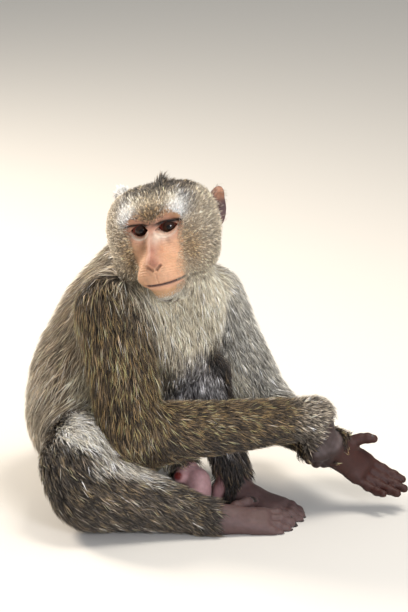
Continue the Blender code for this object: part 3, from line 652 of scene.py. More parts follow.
# Folds of the bare skin: how far each point sinks (+) or stands out (-), in metres
def folds(points):
    l, f, u = inHead(points)
    sink = np.zeros(len(points))
    side = np.abs(l)
    front = ramp(f, 8, 20) * ramp(-u, 30, 34) * ramp(u, -75, -66)
    lip = lipLine(l)
    across = ramp(-l, -27, -22) * ramp(l, -17, -10) * front
    sink += 1.7 * across * bump(u, lip, 0.75)
    sink -= 0.55 * across * (bump(u, lip + 2.6, 1.3) + bump(u, lip - 2.8, 1.5))
    sink += 0.5 * ramp(f, 30, 38) * bump(l, noseShift, 0.6) * ramp(u, -53, -51) * ramp(-u, 37, 39)
    for away in nostrils(l, u):
        sink += 2.6 * bump(away, 0, 0.6) * ramp(f, 22, 28)
        sink -= 0.7 * bump(away, 2.2, 0.9) * ramp(f, 22, 28)
    muzzle = ramp(f, -2, 8) * ramp(side, 4, 9) * ramp(-u, 10, 18) * ramp(u, -48, -42)
    sink += 0.16 * muzzle * np.sin(u * 2.6 + 0.9 * np.sin(f * 0.35 + l * 0.2) + 0.05 * side * side / 6)
    brow = ramp(u, 6, 9) * ramp(-u, -22, -16) * ramp(-side, -34, -26) * ramp(f, -22, -10)
    sink += 0.25 * brow * np.sin(u * 2.2 + 0.8 * np.sin(l * 0.3))
    bridge = ramp(-side, -6, -2) * ramp(u, -34, -28) * ramp(-u, 2, 6) * ramp(f, -8, 0)
    sink += 0.12 * bridge * np.sin(l * 1.9 + 0.6 * np.sin(u * 0.4))
    for turn in (-1, 1):
        ol, ou = l - turn * 13.5, u + 1 + 0.5 * turn
        away = np.hypot(ol * 0.85, ou)
        under = ramp(-ou, 2, 5) * ramp(f, -22, -12) * ramp(-away, -17, -14)
        for depth, radius, width in ((0.35, 8.3, 0.55), (0.28, 10.2, 0.6), (0.175, 12.3, 0.7)):
            sink += depth * under * bump(away, radius, width)
        over = ramp(ou, 3, 4.5) * ramp(f, -22, -12) * ramp(-np.abs(ol), -17, -13)
        sink += 0.7 * over * bump(ou, 5.2 + 0.05 * ol * turn, 0.6)
    return sink / 1000


offFloor = 0.0002  # how far the skin stays above the floor


def skinAt(shapes, points):
    return np.maximum(measureAt(shapes, points) + folds(points), offFloor - points[:, 2])


def seat(shapes, points):  # move points onto the form
    points, step, farthest = points.copy(), 0.0003, 0.0015
    for _ in range(3):
        here = skinAt(shapes, points)
        slope = np.stack([skinAt(shapes, points + step * way) - here for way in np.eye(3)], 1) / step
        move = slope * (here / np.clip((slope**2).sum(1), 0.3, None))[:, None]
        points -= move / np.maximum(np.linalg.norm(move, axis=1, keepdims=True) / farthest, 1)
    return points


def meshObject(name, points, faces):
    mesh = bpy.data.meshes.new(name)
    mesh.from_pydata((points + shift).tolist(), [], faces.tolist())
    mesh.update()
    return placed(name, mesh)


def vertsOf(mesh):
    return fetch(mesh.vertices, "co", 3) - shift


def reworked(mesh, change):
    work = bmesh.new()
    work.from_mesh(mesh)
    change(work)
    work.to_mesh(mesh)
    work.free()
    mesh.update()


def refine(mesh, chosen):  # divide the faces whose middle is chosen
    def divide(work):
        work.faces.ensure_lookup_table()
        middles = np.array([face.calc_center_median() for face in work.faces]) - shift
        edges = list({edge for n in np.flatnonzero(chosen(middles)) for edge in work.faces[n].edges})
        bmesh.ops.subdivide_edges(work, edges=edges, cuts=1, use_grid_fill=True)

    reworked(mesh, divide)


# Skin: the form's surface, thinned under the coat, divided on the face and seated on the form again
skinMake = {
    "pitch": 0.0017,
    "low": (-0.205, -0.170, -0.012),
    "high": (0.235, 0.255, 0.370),
    "keep": 0.28,  # share of the faces left under the coat
}
shapes = bodyShapes()
grid = Grid(skinMake["low"], skinMake["high"], skinMake["pitch"])
grid.fill(shapes)
grid.value = np.maximum(grid.value, offFloor - grid.axes[2])
points, faces = grid.surface()
grid.slope = np.stack(np.gradient(grid.value, grid.pitch), -1).astype(np.float32)
print("grid", grid.value.shape, "skin", len(points), len(faces))
skin = meshObject("skin", points, faces)


def nearFace(p):
    l, f, u = inHead(p)
    return (f > -22) & (np.abs(l) < 33) & (u > -70) & (u < 14)


def nearDetail(p):
    l, f, u = inHead(p)
    eyes = (np.hypot(np.abs(l) - 14.5, u + 1) < 13) & (f > -16)
    mouth = (f > 14) & (np.abs(l) < 32) & (u < -33) & (u > -60)
    return eyes | mouth


def nearEars(p):
    l, f, u = inHead(p)
    return (np.abs(l) > 42) & (f < -50) & (u > -32) & (f > -78)


# Where the coat ends on each hand and foot: from which joint, along which way, how far along it
coatEnds = [
    (joint["wristR"], unit((0.85, 0.0, -0.50)), 0.009),
    (joint["wristL"], unit((0.76, 0.0, -0.58)), 0.002),
    (joint["ankleR"], vec(1, 0, 0), 0.006),
    (joint["ankleL"] + (0, 0, -0.01), unit((0.86, -0.50, -0.30)), 0.004),
]
endReach = 0.13  # no hand or foot is longer


def endMasks(points):  # how far a point belongs to each bare hand and foot
    masks = []
    for (end, way, reach), form in zip(coatEnds, endForms):
        near = gap(points, end) < endReach
        mask = np.zeros(len(points))
        away, past = measureAt([form], points[near]), (points[near] - end) @ way
        mask[near] = ramp(away, 0.006, 0.002) * ramp(past, reach - 0.004, reach + 0.006)
        masks.append(mask)
    return masks


def thin(made, share):  # fewer faces where the coat covers the skin
    p = vertsOf(made.data)
    groin = gap(p, (-0.008, -0.045, 0.028)) < 0.034
    bare = np.max(endMasks(p), axis=0) > 0.02
    covered = made.vertex_groups.new(name="covered")
    covered.add(np.flatnonzero(~(nearFace(p) | nearEars(p) | groin | bare)).tolist(), 1.0, "REPLACE")
    step = made.modifiers.new("thin", "DECIMATE")
    step.ratio, step.vertex_group = share, covered.name
    seen = made.evaluated_get(bpy.context.evaluated_depsgraph_get())
    mesh = bpy.data.meshes.new_from_object(seen)
    made.modifiers.clear()
    made.data = mesh
    made.vertex_groups.clear()


thin(skin, skinMake["keep"])
refine(skin.data, nearFace)
refine(skin.data, nearDetail)
spots = seat(shapes, vertsOf(skin.data))
skin.data.vertices.foreach_set("co", (spots + shift).ravel())
skin.data.update()
smooth(skin.data)
print("skin faces", len(skin.data.polygons))


# Parts of the body by nearness to their axes: for the coat's lie, length and colour
j = joint
partLines = {
    "head": (headSpot(0, -55, -5), headSpot(0, -30, -15), 0.046),
    "muzzle": (headSpot(0, -6, -34), headSpot(0, 26, -44), 0.018),
    "throat": (headSpot(0, -30, -60), j["neckRoot"] + (0.020, -0.020, -0.02), 0.030),
    "nape": (headSpot(0, -72, -30), j["withers"] + (-0.02, 0.01, 0.0), 0.036),
    "upperTrunk": (j["withers"], j["ribs"], 0.055),
    "lowerTrunk": (j["ribs"], j["pelvis"], 0.068),
    "upperArmR": (toward(j["shoulderR"], j["elbowR"], 0.05), j["elbowR"], 0.031),
    "forearmR": (j["elbowR"], j["wristR"], 0.020),
    "upperArmL": (toward(j["shoulderL"], j["elbowL"], 0.05), j["elbowL"], 0.029),
    "forearmL": (j["elbowL"], j["wristL"], 0.017),
    "thighR": (j["hipR"], j["kneeR"], 0.037),
    "shankR": (j["calfR"], j["ankleR"], 0.026),
    "thighL": (j["hipL"], j["kneeL"], 0.028),
    "shankL": (j["kneeL"], j["ankleL"], 0.018),
}
allNames = [*partLines, "tail"]
tailWay = np.gradient(tailSpots, axis=0)


def partShares(points):  # how much of each part a point belongs to
    away = [lineGap(points, start, end)[0] - radius for start, end, radius in partLines.values()]
    to = np.linalg.norm(points[:, None] - tailSpots[None, 2:], axis=2)
    away = np.stack([*away, to.min(1) - 0.010], 1)
    weight = np.exp(-np.clip(away - away.min(1, keepdims=True), 0, 0.06) / 0.006)
    return weight / weight.sum(1, keepdims=True), to.argmin(1) + 2


# The lie of the coat: along each part, turned a little, or a way of its own
lieTurn = {
    "forearmR": vec(0, 0, -0.25),
    "forearmL": vec(0, 0, -0.15),
    "thighR": vec(0.8, 0, -0.3),
    "shankR": vec(0, 0, -0.15),
}
ownLie = {
    "throat": unit((0.25, -0.20, -0.85)),
    "nape": unit(j["withers"] + (-0.03, 0.02, 0) - headSpot(0, -72, -30)),
    "upperTrunk": unit(j["belly"] - j["withers"] + (0, 0, -0.02)),
    "lowerTrunk": unit(j["pelvis"] - j["ribs"] + (-0.02, 0.01, 0)),
    "thighL": unit((0.15, -0.30, -0.90)),
}


def lieOfCoat(points, shares, tailAt):  # the way the hair points, before it is laid on the skin
    l, f, u = inHead(points)
    fromFace = np.stack([l, f - 22, u + 26], 1)
    fromFace = unit(fromFace + np.stack([0 * l, -10 + 0 * l, -12 * ramp(-u, 0, 25)], 1)) @ headAxis
    chin = ramp(-u, 52, 60)[:, None]
    ways = {name: unit(end - start) + lieTurn.get(name, 0) for name, (start, end, _) in partLines.items()}
    ways.update(ownLie)
    ways.update(head=fromFace, muzzle=fromFace, tail=unit(tailWay[tailAt]))
    way = sum(share[:, None] * ways[name] for name, share in zip(allNames, shares.T))
    return way + chin * shares[:, :1] * (0.1, -0.1, -0.6)


def crestAt(l, f, u, wide, deep):
    return np.exp(-(((l - 6) / wide) ** 2) - ((f + 43) / deep) ** 2) * ramp(u, 15, 28)


# The bare face by height above the eyes, and the bare groin
faceEdge = {
    "halfWidth": ((-80, -66, -56, -46, -34, -20, -8, 2, 9, 14), (4, 13, 20, 24, 24, 23, 25, 27, 25, 16)),
    "front": ((-80, -60, -48, -30, -10, 5, 14), (10, 6, -4, -10, -18, -22, -18)),
}
bareEdge = {"coat": -1.5, "colour": 3.5}  # millimetres that each moves the face's edge out
groinSpot = (-0.006, -0.047, 0.026)


# Where the skin is bare (1) and where the coat covers it (0)
def bareness(points, grow):  # the face's edge is moved out by millimetres
    l, f, u = inHead(points)
    side = np.abs(l)
    wander = 1.6 * cloud(points, 0.012, 3.0)
    halfWidth = np.interp(u, *faceEdge["halfWidth"]) - 3.5 * ramp(l, 0, 8) * ramp(-u, 20, 32) + grow
    front = np.interp(u, *faceEdge["front"])
    face = ramp(halfWidth - side + wander, -1.5, 1.5) * ramp(f - front + grow, -3, 3)
    top = 9.5 + grow + 2.5 * bump(side, 20, 7) - 4.5 * bump(side, 0, 6)
    face *= ramp(top - u + wander * 0.6, -1.2, 1.2) * ramp(u + grow + 0.5 * wander, -66, -62)
    near, down = nearEar(points, "right", 0.0165, 0.0140)
    ear = np.maximum(nearEar(points, "left", 0.0165, 0.0140)[0], near * ramp(down, 0.10, 0.30))
    groin = ramp(gap(points, groinSpot), 0.030, 0.026) * (points[:, 0] > -0.036)
    return np.clip(np.max([face, *endMasks(points), (0.95 + 0.01 * grow) * ear, groin], axis=0), 0, 1)


def nearEar(points, side, far, close):  # closeness to an ear's edge line, and the share down it
    away, down = lineGap(points, *(headSpot(*spot) for spot in ears[side]))
    return ramp(away, far, close), down


# Colours of the coat: dark under-wool at the root, then a band, then the tip
coatHues = {
    "back": ("#2a221b", "#82705a", "#e2c594"),
    "flank": ("#6b6156", "#b5aa98", "#e6dcc8"),
    "arm": ("#17120f", "#574833", "#d2ad72"),
    "forearm": ("#18130f", "#564733", "#c6a36b"),
    "crown": ("#1b1715", "#4b4136", "#a08c64"),
    "cheek": ("#756a5b", "#bdb09a", "#f0eadc"),
    "ochre": ("#6a533a", "#a98b5e", "#d2b482"),
    "white": ("#c4c5c3", "#eef0f1", "#ffffff"),
    "cream": ("#b5a88f", "#e6dcc4", "#fbf5e4"),
    "greyLilac": ("#7f7b7a", "#b0acaa", "#dddad7"),
    "dark": ("#100d0c", "#2b2521", "#62543f"),
    "leg": ("#15110e", "#3d342b", "#9c8257"),
    "chin": ("#9a9486", "#cbc8bd", "#f0f2f2"),
}
hueTable = np.array([[colour(code) for code in codes] for codes in coatHues.values()])


def coatShares(points, normals, shares):  # how much of each colour of coat stands at a point
    l, f, u = inHead(points)
    side, high = np.abs(l), points[:, 2]
    part = dict(zip(allNames, shares.T))
    wander, fine = cloud(points, 0.030), cloud(points, 0.010, 5.0)
    w = dict.fromkeys(coatHues, 0)
    head = part["head"] + part["muzzle"]
    top = ramp(u + 0.12 * (f + 50) + 2 * fine, 8, 15) * ramp(np.abs(l - 2), 44, 26)
    top = np.maximum(top, 0.9 * ramp(-f - 0.4 * side * (u < 0) + 3 * fine, 52, 80))
    brow = ramp(f, -36, -26) * bump(side, 25, 6.5) * bump(u, 13, 6)
    between = ramp(f, -36, -24) * bump(l, 0, 12) * bump(u, 11, 6)
    band = ramp(f, -44, -34) * bump(u, 21, 3) * ramp(side, 30, 20)
    chin = ramp(-u, 58, 66) * ramp(f, -20, 0)
    beside = bump(side, 31, 8) * bump(u, -26, 17) * ramp(f, -34, -18)
    crest = crestAt(l, f, u, 7, 9)
    near, down = nearEar(points, "right", 0.022, 0.014)
    rightEar = near * ramp(down, 0.50, 0.25)
    w["white"] += head * np.clip(1.2 * brow + rightEar, 0, 1)
    w["ochre"] += head * np.clip(0.9 * beside + 1.1 * between, 0, 1)
    w["chin"] += head * chin
    w["dark"] += head * np.clip(2.5 * crest * ramp(l, 12, 4) + 0.8 * between, 0, 1)
    w["cream"] += head * 0.5 * band
    rest = np.clip(1 - brow * 1.2 - beside * 0.9 - chin - crest - between - rightEar - band * 0.5, 0, 1)
    w["crown"] += head * top * rest
    w["cheek"] += head * (1 - top) * rest
    # chest and throat: the side that faces ahead
    facing = normals @ unit((0.45, -0.85, 0.1))
    trunk = part["upperTrunk"] + part["lowerTrunk"] + part["throat"] + part["nape"]
    line = (points - joint["ribs"]) @ unit((0.90, -0.44, 0))
    chest = ramp(facing + 0.15 * wander, 0.05, 0.55) * ramp(line + 0.004 * wander, -0.03, 0.0)
    chest = np.maximum(chest, part["throat"] * ramp(facing, -0.2, 0.3))
    w["cream"] += trunk * chest
    # Greyer flank colour low on the trunk; on the side that faces back it is also painted rim light
    rear = ramp(-normals[:, 0] + 0.10 * wander, 0.4, 0.95)
    low = np.clip(0.85 * ramp(-high + 0.012 * wander, -0.17, -0.07) + 0.5 * rear, 0, 0.95)
    atHand = 0.7 * part["forearmR"] * ramp(gap(points, joint["wristR"]), 0.042, 0.014)
    w["flank"] += trunk * (1 - chest) * low + atHand
    w["back"] += trunk * (1 - chest) * (1 - low) + part["tail"]
    # arms: dark golden outside, cream inside on the far one; the far upper arm laid pale grey-white as
    # painted light, the forearms darker underneath as painted shade
    inner = ramp(normals @ unit((-0.8, -0.45, -0.1)) + 0.12 * wander, 0.15, 0.6)
    # painted shade: 'under' marks the forearms' downward-facing side, which is laid with the dark coat below
    under = ramp(-normals[:, 2] + 0.15 * wander, -0.35, 0.35)
    forearms = part["forearmR"] + part["forearmL"]
    w["arm"] += part["upperArmR"] + part["upperArmL"] * (1 - inner) * 0.2
    w["cream"] += part["upperArmL"] * inner * 0.7
    # painted light: the far upper arm is laid pale grey-white outside as well as inside
    w["chin"] += part["upperArmL"] * ((1 - inner) * 0.8 + inner * 0.3)
    w["forearm"] += (forearms - atHand) * (1 - 0.7 * under)
    w["dark"] += forearms * 0.7 * under
    # right leg: pale along its upper edge as painted light from above, near black at the knee, and dark low
    # down along the ground as painted shade
    leg = part["thighR"] + part["shankR"]
    # painted light: the upward-facing edge of the leg is laid cream and white
    pale = ramp(normals[:, 2] + 0.08 * wander, 0.66, 0.90) * ramp(-points[:, 0], 0.03, 0.09)
    knee = bump(points[:, 0], -0.150, 0.022) * bump(high, 0.058, 0.022) * ramp(-normals[:, 1], -0.1, 0.3)
    # painted shade: the lowest part of the leg, along the ground, is laid near black
    dark = np.clip(0.8 * knee + 0.55 * ramp(-high + 0.006 * wander, -0.045, -0.015), 0, 1)
    w["cream"] += leg * pale * 0.6
    w["white"] += leg * pale * 0.4
    w["dark"] += leg * (1 - pale) * dark
    w["leg"] += leg * (1 - pale) * (1 - dark) * 0.92
    w["flank"] += leg * (1 - pale) * 0.08
    # left leg: grey lilac within, dark along the shin and low down as painted shade
    leg = part["thighL"] + part["shankL"]
    within = ramp(-normals[:, 1] - 0.3 * normals[:, 2] + 0.1 * wander, 0.45, 0.9) * ramp(high, 0.05, 0.09)
    w["greyLilac"] += leg * within
    # painted shade: the left leg is laid near black wherever it is not the grey lilac side
    w["dark"] += leg * (1 - within) * 0.85
    w["leg"] += leg * (1 - within) * 0.15
    table = np.clip(np.stack(list(w.values()), 1), 0, None) + 1e-6
    return table / table.sum(1, keepdims=True)


def addHues(mesh, hues):
    full = np.ones((len(hues), 4), np.float32)
    full[:, :3] = hues
    mesh.attributes.new("hue", "FLOAT_COLOR", "POINT").data.foreach_set("color", full.ravel())


# Colours of the bare skin
skinHues = {
    "peach": "#c09474",
    "bridge": "#956152",
    "brow": "#a5825f",
    "cheekTan": "#a98660",
    "socket": "#a87a66",
    "paleLid": "#cbbfae",
    "lashAndBrowShade": "#17110f",
    "lip": "#d0a084",
    "mouth": "#3a262b",
    "nostril": "#30130e",
    "ear": "#523b3b",
    "earInner": "#a87b62",
    "hand": "#352826",
    "palm": "#371a14",
    "handBackAndSheen": "#564b4a",
    "foot": "#574341",
    "groin": "#b79090",
    "vent": "#6b211c",
}
skinHues = {name: colour(code) for name, code in skinHues.items()}


def skinColours(points, normals):
    bare = bareness(points, bareEdge["colour"])
    hue = coatShares(points, normals, partShares(points)[0]) @ (hueTable[:, 0] * 0.85 + hueTable[:, 1] * 0.15)
    l, f, u = inHead(points)
    side = np.abs(l)
    fine = cloud(points, 0.006, 9.0)
    skin = np.tile(skinHues["peach"], (len(points), 1))

    def lay(name, mask):
        skin[:] = mixed(skin, skinHues[name], mask)

    lay("cheekTan", 0.75 * ramp(side, 19, 27) * ramp(u, -60, -45) + 0.15 * fine)
    lay("bridge", 0.80 * bump(l, noseShift, 5.5) * ramp(u, -42, -30) + 0.12 * fine)
    lay("brow", 0.8 * ramp(u, 3, 6) + 0.2 * ramp(u, 3, 6) * fine)
    for turn, lidPale, rimPale, lidDark in ((-1, 0.1, 0.7, 0.5), (1, 0.6, 0.4, 0.95)):  # right eye, left eye
        away = np.hypot((l - turn * 13.5) * 0.8, u + 1 + 0.5 * turn)
        lay("socket", 0.75 * ramp(away, 16, 9))
        lay("paleLid", lidPale * bump(l * turn, 8, 6) * bump(u, -8, 4))
        lay("paleLid", rimPale * bump(away, 8.3, 0.7) * ramp(-u, 0, 4))
        lay("lashAndBrowShade", lidDark * bump(l * turn, 14.2, 7) * bump(u, 3.2 - 0.5 * turn, 1.6) * ramp(f, -24, -18))
    # Dark lash line along the lids, carried on across the bridge as painted shade under the brow
    line = 3.7 + 0.7 * bump(side, 16, 9) - 1.0 * bump(l, 0, 6) - 0.035 * l
    lashAndBrowShade = bump(u, line, 1.0 + 0.4 * (l > 0)) * ramp(side, 35, 29)
    lay("lashAndBrowShade", 1.05 * lashAndBrowShade * ramp(f, -24, -18) * (1 - 0.7 * bump(l, 0, 3.5)))
    front = ramp(f, 4, 12) * ramp(l, 29, 24) * ramp(l, -17, -10)
    lip = lipLine(l)
    lay("lip", front * bump(u, lip - 4.5, 4.0))
    # painted shade: below the lower lip the chin is laid darker tan
    lay("cheekTan", 0.8 * front * ramp(lip - u, 3, 8))
    # painted shade: the dark line in the crease between the lips
    lay("mouth", 1.1 * front * bump(u, lip, 0.95))
    # painted shade: near black laid in the nostril slits
    for away in nostrils(l, u):
        lay("nostril", 1.2 * bump(away, 0, 0.55) * ramp(f, 22, 28))
    rightHand, leftHand, *feet = endMasks(points)
    lay("hand", 4 * rightHand)
    # Partly the greyer back of the hand, partly painted sheen: the right hand's upward-facing skin is laid
    # lighter grey
    lay("handBackAndSheen", rightHand * ramp(normals[:, 2] + 0.2 * fine, -0.1, 0.7))
    lay("hand", 4 * leftHand)
    lay("palm", leftHand * ramp(normals @ unit((-0.25, 0.80, -0.50)), 0.2, -0.4))
    for foot in feet:
        lay("foot", 4 * foot)
    for ear in ears:
        near, down = nearEar(points, ear, 0.0200, 0.0170)
        lay("ear", near)
    facing = normals @ unit(left * 0.5 + ahead * 0.8)
    inner = near * ramp(facing, 0.0, 0.5) * nearEar(points, "left", 0.0090, 0.0055)[0]
    lay("earInner", inner * ramp(down, 0.42, 0.15) * (0.8 + 0.4 * fine))
    lay("groin", ramp(gap(points, groinSpot), 0.038, 0.032))
    lay("vent", ramp(gap(points, (-0.026, -0.052, 0.038)), 0.006, 0.003))
    return mixed(hue, skin, bare) * (1 + 0.06 * fine[:, None])


def normalsAt(points):
    return unit(grid.read(grid.slope, points))


hue = skinColours(spots, fetch(skin.data.vertices, "normal", 3))
addHues(skin.data, np.clip(hue, 0, 1))

# An unwrap of the skin: one chart for each part and way of facing, laid in rows
faceMiddle = fetch(skin.data.polygons, "center", 3) - shift
faceNormal = fetch(skin.data.polygons, "normal", 3)
faceArea = fetch(skin.data.polygons, "area")
loopVert = fetch(skin.data.loops, "vertex_index", kind=np.int32)
loopTotal = fetch(skin.data.polygons, "loop_total", kind=np.int32)
facePart = partShares(faceMiddle)[0]
facing = np.abs(faceNormal).argmax(1)
chart = facePart.argmax(1) * 6 + facing * 2 + (faceNormal[np.arange(len(facing)), facing] > 0)
chartAxes = ((1, 2), (0, 2), (0, 1))
chartMargin = 0.002


def chartLayout():
    sizes = {}
    for c in np.unique(chart):
        a, b = chartAxes[(c % 6) // 2]
        own = faceMiddle[chart == c]
        wide, tall = (np.ptp(own[:, axis]) + 2 * chartMargin for axis in (a, b))
        sizes[c] = (own[:, a].min(), own[:, b].min(), wide, tall)
    scale = 1.0
    while True:  # rows of charts, tallest first, shrunk until all fit
        x = y = row = 0
        places = {}
        for c in sorted(sizes, key=lambda c: -sizes[c][3]):
            wide, tall = sizes[c][2] * scale, sizes[c][3] * scale
            if x + wide > 1:
                x, y, row = 0, y + row, 0
            places[c] = (x, y)
            x, row = x + wide, max(row, tall)
        if y + row <= 1:
            return sizes, places, scale
        scale *= 0.97


chartSize, chartPlace, chartScale = chartLayout()


def unwrapped(points, charts):
    uv = np.zeros((len(points), 2))
    for c in chartSize:
        own = charts == c
        a, b = chartAxes[(c % 6) // 2]
        low = np.array(chartSize[c][:2])
        uv[own] = (points[own][:, [a, b]] - low + chartMargin) * chartScale + chartPlace[c]
    return uv


layer = skin.data.uv_layers.new(name="OFBake")
layer.data.foreach_set("uv", unwrapped(spots[loopVert], np.repeat(chart, loopTotal)).ravel())
print("unwrap", len(chartSize), "charts, scale", round(chartScale, 3))

# The coat, part by part: hair length, lock width and rise in mm, locks per square mm before scaling
coatCut = {
    "head": (10.0, 0.75, 4.2, 0.85),
    "muzzle": (5.0, 0.5, 1.6, 0.90),
    "throat": (20.0, 0.95, 7.0, 0.50),
    "nape": (24.0, 1.0, 7.5, 0.50),
    "upperTrunk": (24.0, 1.05, 8.0, 0.48),
    "lowerTrunk": (26.0, 1.10, 8.0, 0.42),
    "upperArmR": (22.0, 1.0, 7.0, 0.58),
    "forearmR": (13.0, 0.85, 5.0, 0.75),
    "upperArmL": (22.0, 1.0, 6.5, 0.55),
    "forearmL": (13.0, 0.85, 4.5, 0.70),
    "thighR": (18.0, 0.95, 7.0, 0.55),
    "shankR": (13.0, 0.85, 5.5, 0.70),
    "thighL": (14.0, 0.9, 6.0, 0.50),
    "shankL": (12.0, 0.85, 4.5, 0.60),
    "tail": (13.0, 1.0, 3.0, 0.42),
}
coatLook = {
    "locks": 159000,
    "pieceTriangles": 190000,
    "clump": 3,  # locks that lean together
    "lean": 0.9,
    "golden": (0.42, 0.70),  # tips below the first are light, above the second dark
    "pure": 0.4,  # how much of a lock's colour is a single one of the coat's colours
    "droop": {"coatHead": 0.03, "coatTail": 0.03},
    "patch": 0.003,  # a lock's place in the unwrap
}
lockForm = {
    "root": 0.0006,  # how deep a lock starts in the skin
    "bend": 0.10,
    "liftMost": 0.012,
    "offFloor": 0.0004,
    "follow": 0.85,  # how closely it keeps along the skin
    "narrowRoot": 0.75,
    "thick": 0.45,  # of its width
}
lockTriangles = 9
cut = np.array([coatCut[name] for name in allNames])
coatShare = 1 - bareness(faceMiddle, bareEdge["coat"])
l, f, u = inHead(faceMiddle)
finer = 1 + 0.8 * ramp(f, -40, -15) * (facePart[:, 0] + facePart[:, 1])  # by the face
down = (0.05 + 0.45 * ramp(np.abs(l), 15, 23)) * (u < 2) * (facePart[:, 1] > 0.3)
density = np.maximum((facePart @ cut[:, 3]) * finer * coatShare, down) * faceArea * 1e6
density *= coatLook["locks"] / density.sum()
print("coat area", round(float((faceArea * coatShare).sum()), 4))

corner = np.cumsum(np.r_[0, loopTotal[:-1]])


def scatter(amount):  # random roots on the skin's faces
    count = chance.poisson(amount)
    picked = np.repeat(np.arange(len(count)), count)
    first = corner[picked]
    total = loopTotal[picked]
    a = chance.random((len(picked), 2))
    k = 1 + (chance.random(len(picked)) * (total - 2)).astype(int)
    p0, p1, p2 = (spots[loopVert[first + n]] for n in (0 * k, k, k + 1))
    s = np.sqrt(a[:, :1])
    return p0 * (1 - s) + p1 * s * (1 - a[:, 1:]) + p2 * s * a[:, 1:], picked


def clumps(roots, size):  # for each root the middle of its clump and the clump's number
    centres = roots[chance.random(len(roots)) < 1 / size]
    tree = kdtree.KDTree(len(centres))
    for n, centre in enumerate(centres):
        tree.insert(centre, n)
    tree.balance()
    own = np.array([tree.find(root)[1] for root in roots])
    return centres[own], own


def flat(ways, normals, share=1):  # laid along the skin
    return unit(ways - normals * (ways * normals).sum(1, keepdims=True) * share)


def growLocks(roots, normals, ways, length, width, rise, hues, rootUv, droop):
    count, form = len(roots), lockForm
    way, spot = flat(ways, normals), roots
    curve, frames = [roots - normals * form["root"]], [(way, normals)]
    bend = chance.normal(0, form["bend"], count)[:, None]
    for end in (0.5, 1.0):
        side = np.cross(way, frames[-1][1])
        way = unit(way + side * bend - vec(0, 0, droop))
        spot = spot + way * length[:, None] * 0.5
        out = normalsAt(spot)
        want = rise[:, None] * (1 - (1 - end) ** 1.6)
        have = grid.read(grid.value, spot)[:, None]
        spot = spot + out * np.clip(want - have, -form["liftMost"], form["liftMost"])
        spot[:, 2] = np.maximum(spot[:, 2], form["offFloor"])
        way = flat(way, out, form["follow"])
        curve.append(spot)
        frames.append((way, out))
    verts, colours = [], []
    for n, share in ((0, form["narrowRoot"]), (1, 1.0)):
        way, out = frames[n]
        side = unit(np.cross(way, out))
        wide = width[:, None] * share * 0.5
        for turn in range(3):
            angle = math.radians(90 + 120 * turn)
            c, s = math.cos(angle), math.sin(angle) * form["thick"]
            verts.append(curve[n] + side * wide * c + out * wide * s)
            colours.append(hues[:, n])
    verts = np.stack([*verts, curve[2]], 1).reshape(-1, 3)
    colours = np.stack([*colours, hues[:, 2]], 1).reshape(-1, 3)
    base = (np.arange(count) * 7)[:, None]
    loops = (base + (*(0, 1, 4, 3), *(1, 2, 5, 4), *(2, 0, 3, 5), *(3, 4, 6), *(4, 5, 6), *(5, 3, 6))).ravel()
    sizes = np.tile([4, 4, 4, 3, 3, 3], count)
    patch = np.array([(turn / 2, n / 2) for n in (0, 1) for turn in range(3)] + [(0.5, 1)])
    uv = rootUv[:, None] + (patch - 0.5) * coatLook["patch"]
    return verts, loops, sizes, colours, uv.reshape(-1, 2)


def lockObject(name, verts, loops, sizes, colours, uv):
    mesh = bpy.data.meshes.new(name)
    mesh.vertices.add(len(verts))
    mesh.vertices.foreach_set("co", (verts + shift).astype(np.float32).ravel())
    mesh.loops.add(len(loops))
    mesh.loops.foreach_set("vertex_index", loops.astype(np.int32))
    mesh.polygons.add(len(sizes))
    starts = np.r_[0, np.cumsum(sizes)[:-1]]
    mesh.polygons.foreach_set("loop_start", starts.astype(np.int32))
    smooth(mesh)
    mesh.update(calc_edges=True)
    addHues(mesh, colours)
    mesh.uv_layers.new(name="OFBake").data.foreach_set("uv", uv[loops].astype(np.float32).ravel())
    return placed(name, mesh)


